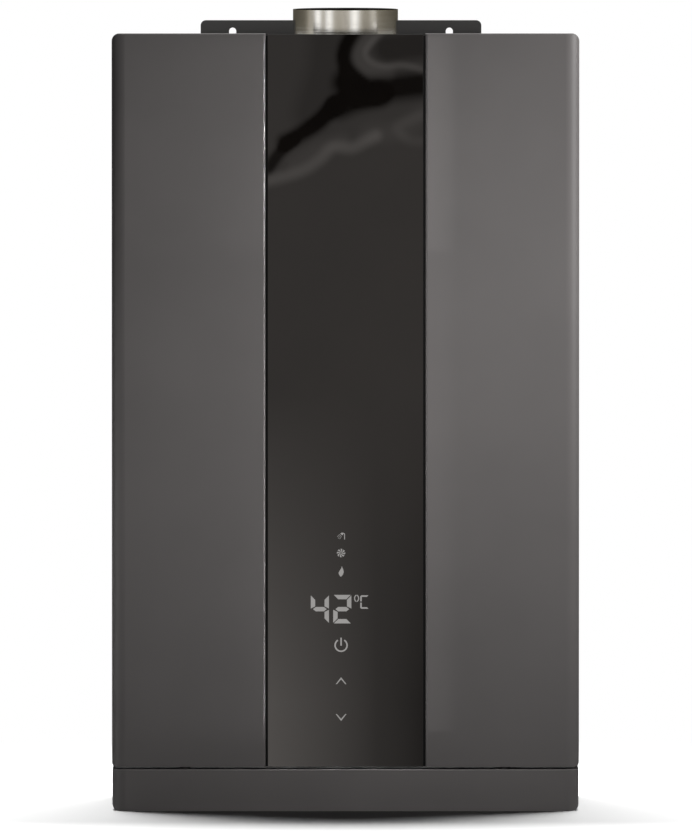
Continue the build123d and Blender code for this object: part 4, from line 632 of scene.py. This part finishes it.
def case_paint():
    """Grey paint, with painted shade: near black in the channel behind the glass and in the gap under the
    front cover.
    """
    tree, shader = new_finish("case_paint", Specular_IOR_Level=case_gloss)
    paint = drift(tree, case_colour, case_drift_share, noise(tree, paint_cloud))
    place = tree.nodes.new("ShaderNodeTexCoord")
    axes = tree.nodes.new("ShaderNodeSeparateXYZ")
    tree.links.new(place.outputs["Object"], axes.inputs["Vector"])
    across = compare(tree, axes.outputs["X"], 0.0, glass_high.x + channel_margin)
    channel_middle = glass_low.y + channel_start + channel_depth / 2
    deep = compare(tree, axes.outputs["Y"], channel_middle, channel_depth / 2)
    gap_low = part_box("lower_cover")[1].z
    gap_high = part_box("front_cover")[0].z
    gap_reach = (gap_high - gap_low) / 2 + gap_margin
    level = compare(tree, axes.outputs["Z"], (gap_low + gap_high) / 2, gap_reach)
    # Painted shade: the channel behind the glass and the gap under the front cover are coloured near black
    channel = mixed(tree, joined(tree, "MULTIPLY", across, deep), paint, painted_shade_colour)
    tree.links.new(mixed(tree, level, channel, painted_shade_colour), shader.inputs["Base Color"])
    roughened(tree, shader, case_rough, noise(tree, paint_cloud))
    bump(tree, shader, noise(tree, paint_grain), fine_depth, case_relief)


def smoked_glass():
    """Dark glass with a clear gloss."""
    tree, shader = new_finish("smoked_glass", rough=glass_rough, IOR=glass_index)
    clouded(tree, shader, glass_colour, glass_drift_share, noise(tree, glass_cloud))


def sign_light():
    """Signs that glow softly through the glass."""
    tree, shader = new_finish("sign_light", rough=sign_rough, Emission_Strength=1.0)
    clouded(tree, shader, sign_colour, sign_drift_share, noise(tree, plastic_cloud))
    glow = drift(tree, sign_glow, glow_drift_share, noise(tree, plastic_cloud))
    tree.links.new(glow, shader.inputs["Emission Color"])


def foam_tape():
    """Black foam with small cells."""
    tree, shader = new_finish("foam_tape", rough=foam_rough)
    clouded(tree, shader, foam_colour, foam_drift_share, noise(tree, plastic_cloud))
    bump(tree, shader, cells(tree, foam_cell), coarse_depth, foam_relief)


def grained_plastic(name, colour, share, limits, relief):
    """Plastic with a fine moulded grain."""
    tree, shader = new_finish(name)
    clouded(tree, shader, colour, share, noise(tree, plastic_cloud))
    roughened(tree, shader, limits, noise(tree, plastic_cloud))
    bump(tree, shader, cells(tree, plastic_grain), fine_depth, relief)


def black_plastic():
    """Black moulded plastic."""
    grained_plastic("black_plastic", black_colour, black_drift_share, black_rough, black_relief)


def white_plastic():
    """Pale moulded plastic."""
    grained_plastic("white_plastic", white_colour, white_drift_share, white_rough, white_relief)


def circuit_board():
    """Green board with tracks and tinned pads."""
    tree, shader = new_finish("circuit_board", rough=board_rough)
    track = ramp(tree, cells(tree, board_trace, "DISTANCE_TO_EDGE"), track_stops, "CONSTANT")
    pad = ramp(tree, cells(tree, board_pad), pad_stops, "CONSTANT")
    tree.links.new(mixed(tree, pad, track, pad_colour), shader.inputs["Base Color"])
    bump(tree, shader, cells(tree, board_trace, "DISTANCE_TO_EDGE"), fine_depth, board_relief)


def lead_rubber():
    """Lead covers, each lead in one of a few colours."""
    tree, shader = new_finish("lead_rubber", rough=lead_rough)
    island = tree.nodes.new("ShaderNodeNewGeometry").outputs["Random Per Island"]
    tree.links.new(ramp(tree, island, lead_stops, "CONSTANT"), shader.inputs["Base Color"])
    bump(tree, shader, noise(tree, lead_grain), fine_depth, lead_relief)


def bracket_paint():
    """Dark grey paint of the wall bracket and the cover studs."""
    tree, shader = new_finish("bracket_paint")
    clouded(tree, shader, bracket_colour, bracket_drift_share, noise(tree, paint_cloud))
    roughened(tree, shader, bracket_rough, noise(tree, plastic_cloud))
    bump(tree, shader, noise(tree, paint_grain), fine_depth, bracket_relief)


def plated_steel():
    """Zinc-plated sheet with spangles."""
    tree, shader = new_finish("plated_steel", metal=1.0)
    spangle = ramp(tree, cells(tree, spangle_size, output="Color"), spangle_stops)
    tree.links.new(spangle, shader.inputs["Base Color"])
    roughened(tree, shader, plated_rough, noise(tree, spangle_size))
    bump(tree, shader, noise(tree, paint_grain), fine_depth, plated_relief)


def brushed(name, colour, rough, stretch):
    """Metal with fine lines that run across the stretched axis."""
    tree, shader = new_finish(name, metal=1.0, rough=rough)
    clouded(tree, shader, colour, brushed_drift_share, noise(tree, tarnish_cloud))
    lines = noise(tree, brush_length, stretch, detail=brush_detail)
    roughened(tree, shader, (rough - brushed_rough_drop, rough + brushed_rough_rise), lines)
    bump(tree, shader, lines, fine_depth, brushed_relief)
    return tree, shader


def stainless():
    """Brushed steel with painted shade inside the flue tube."""
    tree, shader = brushed("stainless", flue_colour, flue_rough, (1, 1, brush_length / brush_grain))
    steel = shader.inputs["Base Color"].links[0].from_socket
    place = tree.nodes.new("ShaderNodeTexCoord")
    flat = tree.nodes.new("ShaderNodeVectorMath")
    flat.operation = "MULTIPLY"
    flat.inputs[1].default_value = (1, 1, 0)
    tree.links.new(place.outputs["Object"], flat.inputs[0])
    radius = tree.nodes.new("ShaderNodeVectorMath")
    radius.operation = "LENGTH"
    tree.links.new(flat.outputs["Vector"], radius.inputs[0])
    # Painted shade: the inside of the flue tube is coloured dark
    inside = compare(tree, radius.outputs["Value"], 0.0, flue_bore)
    tree.links.new(mixed(tree, inside, steel, tube_shade_colour), shader.inputs["Base Color"])


def spring_steel():
    """Steel with lines that run level."""
    brushed("spring_steel", spring_colour, spring_rough, (1, 1, brush_length / turning_pitch))


def motor_steel():
    """Darker steel with lines that run across the depth."""
    brushed("motor_steel", motor_colour, motor_rough, (1, brush_length / turning_pitch, 1))


def copper():
    """Copper with darker tarnish."""
    tree, shader = new_finish("copper", metal=1.0)
    tree.links.new(ramp(tree, noise(tree, tarnish_cloud), copper_stops), shader.inputs["Base Color"])
    roughened(tree, shader, copper_rough, noise(tree, tarnish_cloud))
    bump(tree, shader, noise(tree, cast_grain), fine_depth, copper_relief)


def brass():
    """Machined brass."""
    tree, shader = new_finish("brass", metal=1.0)
    clouded(tree, shader, brass_colour, brass_drift_share, noise(tree, tarnish_cloud))
    roughened(tree, shader, brass_rough, noise(tree, tarnish_cloud))
    bump(tree, shader, noise(tree, cast_grain), fine_depth, brass_relief)


def cast_alloy():
    """Cast aluminium with a coarse skin."""
    tree, shader = new_finish("cast_alloy", metal=1.0)
    clouded(tree, shader, alloy_colour, alloy_drift_share, noise(tree, tarnish_cloud))
    roughened(tree, shader, alloy_rough, noise(tree, plastic_cloud))
    bump(tree, shader, noise(tree, cast_grain), coarse_depth, alloy_relief)


def ceramic():
    """Pale ceramic with small specks."""
    tree, shader = new_finish("ceramic", rough=ceramic_rough)
    tree.links.new(ramp(tree, cells(tree, speck_size), ceramic_stops), shader.inputs["Base Color"])
    bump(tree, shader, noise(tree, speck_size), fine_depth, ceramic_relief)


finishes = {}
for make_finish in (case_paint, smoked_glass, sign_light, foam_tape, black_plastic, circuit_board,
                    lead_rubber, bracket_paint, plated_steel, stainless, spring_steel, motor_steel, copper,
                    brass, cast_alloy, ceramic, white_plastic):
    make_finish()

# Each node takes the finish of its slot in the record
slot_of_node = {part["node"]: part["material_slot"] for part in frame["record"]["subparts"]}
for node, piece in frame["nodes"].items():
    piece.data.materials.clear()
    piece.data.materials.append(finishes[slot_of_node[node]])

# Signs on the glass
glass_y = glass_low.y
board_low, board_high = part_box("display_board")
sign_x = (board_low.x + board_high.x) / 2 + sign_shift
sign("digit_four", segments(digit_lefts[0], digit_low, ("left_high", "right_high", "middle", "right_low")))
sign("digit_two", segments(digit_lefts[1], digit_low, ("top", "right_high", "middle", "left_low", "low")))
sign("degree_ring", [ribbon(degree_middle, degree_radii, degree_stroke, start + degree_gap_angle,
                            start + math.pi - degree_gap_angle)
                     for start in (-math.pi / 2, math.pi / 2)])
sign("unit_mark", unit_outlines())
sign("shower_sign", tap_outlines())
sign("fan_sign", [fan_outline(2 * math.pi * i / fan_blades) for i in range(fan_blades)])
sign("flame_sign", [flame_outline()])
sign("power_sign", power_outlines())
sign("up_sign", [chevron(up_apex_height, 1)])
sign("down_sign", [chevron(down_apex_height, -1)])

# Threads on the stubs
threaded("cold_inlet_thread", "cold_inlet_body", "cold_inlet", finishes["brass"])
threaded("hot_outlet_thread", "hot_outlet", "hot_outlet", finishes["brass"])
threaded("gas_inlet_thread", "gas_inlet", "gas_inlet", finishes["brass"])


# Floor, reflection cards, lamps and world

def seen_rays(tree, path):
    """One for a ray of the camera, of gloss or through glass, and zero for the others."""
    seen = path.outputs["Is Camera Ray"]
    for ray in ("Is Glossy Ray", "Is Transmission Ray"):
        seen = joined(tree, "ADD", seen, path.outputs[ray])
    return seen


def stage_mesh(name, corners, faces, finish):
    """A mesh that belongs to the stage and not to the object."""
    mesh = bpy.data.meshes.new(name)
    mesh.from_pydata(corners, [], faces)
    mesh.materials.append(finish)
    piece = bpy.data.objects.new(name, mesh)
    bpy.context.scene.collection.objects.link(piece)
    piece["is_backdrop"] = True
    return piece


def only_in_gloss(piece):
    """Hides a card from everything but gloss."""
    piece.visible_camera = False
    piece.visible_diffuse = False
    piece.visible_shadow = False
    piece.visible_transmission = False


def emitter(name):
    """A material that only glows, and its emission node."""
    finish = bpy.data.materials.new(name)
    finish.use_nodes = True
    tree = finish.node_tree
    tree.nodes.clear()
    glow = tree.nodes.new("ShaderNodeEmission")
    output = tree.nodes.new("ShaderNodeOutputMaterial")
    tree.links.new(glow.outputs["Emission"], output.inputs["Surface"])
    return finish, tree, glow


def glowing_card(name, corners, faces, colours):
    """A card that glows with a colour at each corner and only shows in gloss."""
    finish, tree, glow = emitter(name + "_glow")
    colour = tree.nodes.new("ShaderNodeVertexColor")
    colour.layer_name = "glow"
    tree.links.new(colour.outputs["Color"], glow.inputs["Color"])
    card = stage_mesh(name, corners, faces, finish)
    layer = card.data.color_attributes.new("glow", "FLOAT_COLOR", "POINT")
    for point, level in zip(layer.data, colours):
        point.color = (*level, 1.0)
    only_in_gloss(card)


def floor():
    """A pale floor that keeps the shadow near the object and is plain white further out."""
    finish = bpy.data.materials.new("floor_white")
    finish.use_nodes = True
    tree = finish.node_tree
    shader = tree.nodes["Principled BSDF"]
    shader.inputs["Roughness"].default_value = floor_rough
    shader.inputs["Specular IOR Level"].default_value = 0.0
    path = tree.nodes.new("ShaderNodeLightPath")
    seen = seen_rays(tree, path)
    plain = mixed(tree, seen, floor_bounce, floor_seen)
    colour = mixed(tree, path.outputs["Is Glossy Ray"], plain, floor_mirrored)
    tree.links.new(colour, shader.inputs["Base Color"])
    place = tree.nodes.new("ShaderNodeTexCoord")
    distance = tree.nodes.new("ShaderNodeVectorMath")
    distance.operation = "LENGTH"
    tree.links.new(place.outputs["Object"], distance.inputs[0])
    fade = tree.nodes.new("ShaderNodeMapRange")
    fade.interpolation_type = "SMOOTHSTEP"
    fade.inputs["From Min"].default_value = fade_start
    fade.inputs["From Max"].default_value = fade_end
    tree.links.new(distance.outputs["Value"], fade.inputs["Value"])
    plain_white = tree.nodes.new("ShaderNodeEmission")
    mix = tree.nodes.new("ShaderNodeMixShader")
    tree.links.new(joined(tree, "MULTIPLY", fade.outputs["Result"], seen), mix.inputs["Fac"])
    tree.links.new(shader.outputs["BSDF"], mix.inputs[1])
    tree.links.new(plain_white.outputs["Emission"], mix.inputs[2])
    tree.links.new(mix.outputs["Shader"], tree.nodes["Material Output"].inputs["Surface"])
    reach = floor_reach
    corners = [(-reach, -reach, 0), (reach, -reach, 0), (reach, reach, 0), (-reach, reach, 0)]
    stage_mesh("floor", corners, [(0, 1, 2, 3)], finish)


def smooth_route(points):
    """Points of a smooth curve through the given points."""
    ends = [points[0], *points, points[-1]]
    route = []
    for corners in zip(ends, ends[1:], ends[2:], ends[3:]):
        before, start, end, after = (Vector(corner) for corner in corners)
        for i in range(route_steps):
            along = i / route_steps
            route.append((2 * start + (end - before) * along
                          + (2 * before - 5 * start + 4 * end - after) * along ** 2
                          + (3 * start - before - 3 * end + after) * along ** 3) / 2)
    return [*route, Vector(points[-1])]


def stroke_share(point, route, width):
    """How far a point lies inside a soft stroke: one on its line, none beyond its width."""
    nearest = width
    for start, end in zip(route, route[1:]):
        run = end - start
        along = max(0, min(1, (point - start).dot(run) / run.length_squared))
        nearest = min(nearest, (point - start - along * run).length)
    inside = 1 - nearest / width
    return inside * inside * (3 - 2 * inside)


def near_strokes(strokes):
    """Each stroke with its smooth route and the box that it can reach."""
    found = []
    for points, width, strength in strokes:
        route = smooth_route(points)
        box = [(min(p[axis] for p in route) - width, max(p[axis] for p in route) + width) for axis in (0, 1)]
        found.append((route, box, width, strength))
    return found


def stroke_sum(point, strokes, edge_share):
    """Sum of the strokes over a point; each is full where its share reaches the edge share."""
    total = 0
    for route, box, width, strength in strokes:
        if all(low < place < high for place, (low, high) in zip(point, box)):
            total += strength * min(1, stroke_share(point, route, width) / edge_share)
    return total


def card_glow(across, down, dark, light):
    """Brightness that the glass mirrors at a point across from its middle and down from its top."""
    half = (glass_high.x - glass_low.x) / 2
    low = max(0, min(1, (down - low_glow_start) / (low_glow_end - low_glow_start)))
    side = max(-1, min(1, across / half))
    left_rise = low_left_glow * max(0, low_glow_side - side)
    right_drop = low_right_drop * max(0, side) ** 2
    level = glass_glow + low * (left_rise - right_drop)
    point = Vector((across, down))
    return max(level - stroke_sum(point, dark, stroke_edge_share), least_glow) + stroke_sum(point, light, 1)


def glass_card():
    """A card in front of the glass with the soft waves that the glass mirrors."""
    reach = glass_card_gap / (glass_y - camera_place[1])
    middle = (glass_low.x + glass_high.x) / 2
    dark = near_strokes(dark_strokes)
    light = near_strokes(light_strokes)
    corners = []
    colours = []
    for row in range(card_rows + 1):
        z = glass_low.z + (glass_high.z - glass_low.z) * row / card_rows
        for column in range(card_columns + 1):
            x = glass_low.x + (glass_high.x - glass_low.x) * column / card_columns
            corners.append((x + (x - camera_place[0]) * reach, glass_y - glass_card_gap,
                            z + (z - camera_place[2]) * reach))
            level = card_glow(x - middle, glass_high.z - z, dark, light)
            colours.append([level * tint for tint in glow_tint])
    wide = card_columns + 1
    firsts = [row * wide + column for row in range(card_rows) for column in range(card_columns)]
    faces = [(first, first + 1, first + wide + 1, first + wide) for first in firsts]
    glowing_card("glass_card", corners, faces, colours)


def flue_ring():
    """A ring of light and dark bands that the flue tube mirrors; angles are to the right of the front."""
    corners = []
    colours = []
    for i in range(ring_steps + 1):
        turn = 360 * i / ring_steps - 180
        front_share = (1 + math.cos(math.radians(turn))) / 2
        level = ring_back + (ring_base - ring_back) * front_share ** 2
        for middle, width, rise in ring_bands:
            level += rise * math.exp(-((turn - middle) / width) ** 2)
        warm = max(0, 1 - level)
        x = ring_radius * math.sin(math.radians(turn))
        y = -ring_radius * math.cos(math.radians(turn))
        for z in (ring_low, ring_high):
            corners.append((x, y, z))
            colours.append([level * (1 - warm * share) for share in ring_warm_shares])
    faces = [(2 * i, 2 * i + 2, 2 * i + 3, 2 * i + 1) for i in range(ring_steps)]
    glowing_card("flue_ring", corners, faces, colours)


def dark_cards():
    """Dark cards beside the case, which its upright edges mirror."""
    front, rear = dark_card_ys
    for name, (x, high, level) in dark_card_values.items():
        finish, tree, glow = emitter(name)
        glow.inputs["Color"].default_value = (*level, 1.0)
        corners = [(x, front, dark_card_low), (x, rear, dark_card_low), (x, rear, high), (x, front, high)]
        only_in_gloss(stage_mesh(name, corners, [(0, 1, 2, 3)], finish))


def aim(piece, target):
    """Turns a lamp or the camera towards a point."""
    piece.rotation_euler = (Vector(target) - piece.location).to_track_quat("-Z", "Y").to_euler()


def lamps():
    """Lamps that each light one group of pieces; those on the covers show in gloss, except the beams."""
    receivers = {
        "object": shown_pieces(),
        "covers": [frame["nodes"]["front_cover"], frame["nodes"]["lower_cover"]],
        "base": [frame["nodes"]["lower_cover"]],
        "floor": [bpy.data.objects["floor"]],
    }
    lit = {}
    for receiver, pieces in receivers.items():
        lit[receiver] = bpy.data.collections.new("lit_" + receiver)
        for piece in pieces:
            lit[receiver].objects.link(piece)
    for name, (place, target, width, height, power, receiver, spread) in lamp_values.items():
        light = bpy.data.lights.new(name, "AREA")
        light.shape = "RECTANGLE"
        light.size = width
        light.size_y = height
        light.energy = power
        light.spread = spread
        lamp = bpy.data.objects.new(name, light)
        lamp.location = place
        aim(lamp, target)
        lamp.visible_camera = False
        lamp.visible_glossy = receiver == "covers" and spread != beam
        lamp.light_linking.receiver_collection = lit[receiver]
        bpy.context.scene.collection.objects.link(lamp)


def white_world():
    """White where the camera, gloss or glass sees it, and a low plain light otherwise."""
    world = bpy.data.worlds.new("studio")
    bpy.context.scene.world = world
    world.use_nodes = True
    tree = world.node_tree
    seen = seen_rays(tree, tree.nodes.new("ShaderNodeLightPath"))
    colour = mixed(tree, seen, (world_level, world_level, world_level), white)
    tree.links.new(colour, tree.nodes["Background"].inputs["Color"])


def camera():
    """The camera of the photograph."""
    data = bpy.data.cameras.new("camera")
    data.lens = camera_lens
    data.sensor_width = camera_sensor
    data.clip_start = camera_near
    data.clip_end = camera_far
    eye = bpy.data.objects.new("camera", data)
    eye.location = camera_place
    aim(eye, camera_aim)
    bpy.context.scene.collection.objects.link(eye)
    bpy.context.scene.camera = eye


floor()
glass_card()
flue_ring()
dark_cards()
lamps()
white_world()
camera()
bpy.context.scene.view_settings.view_transform = "Standard"
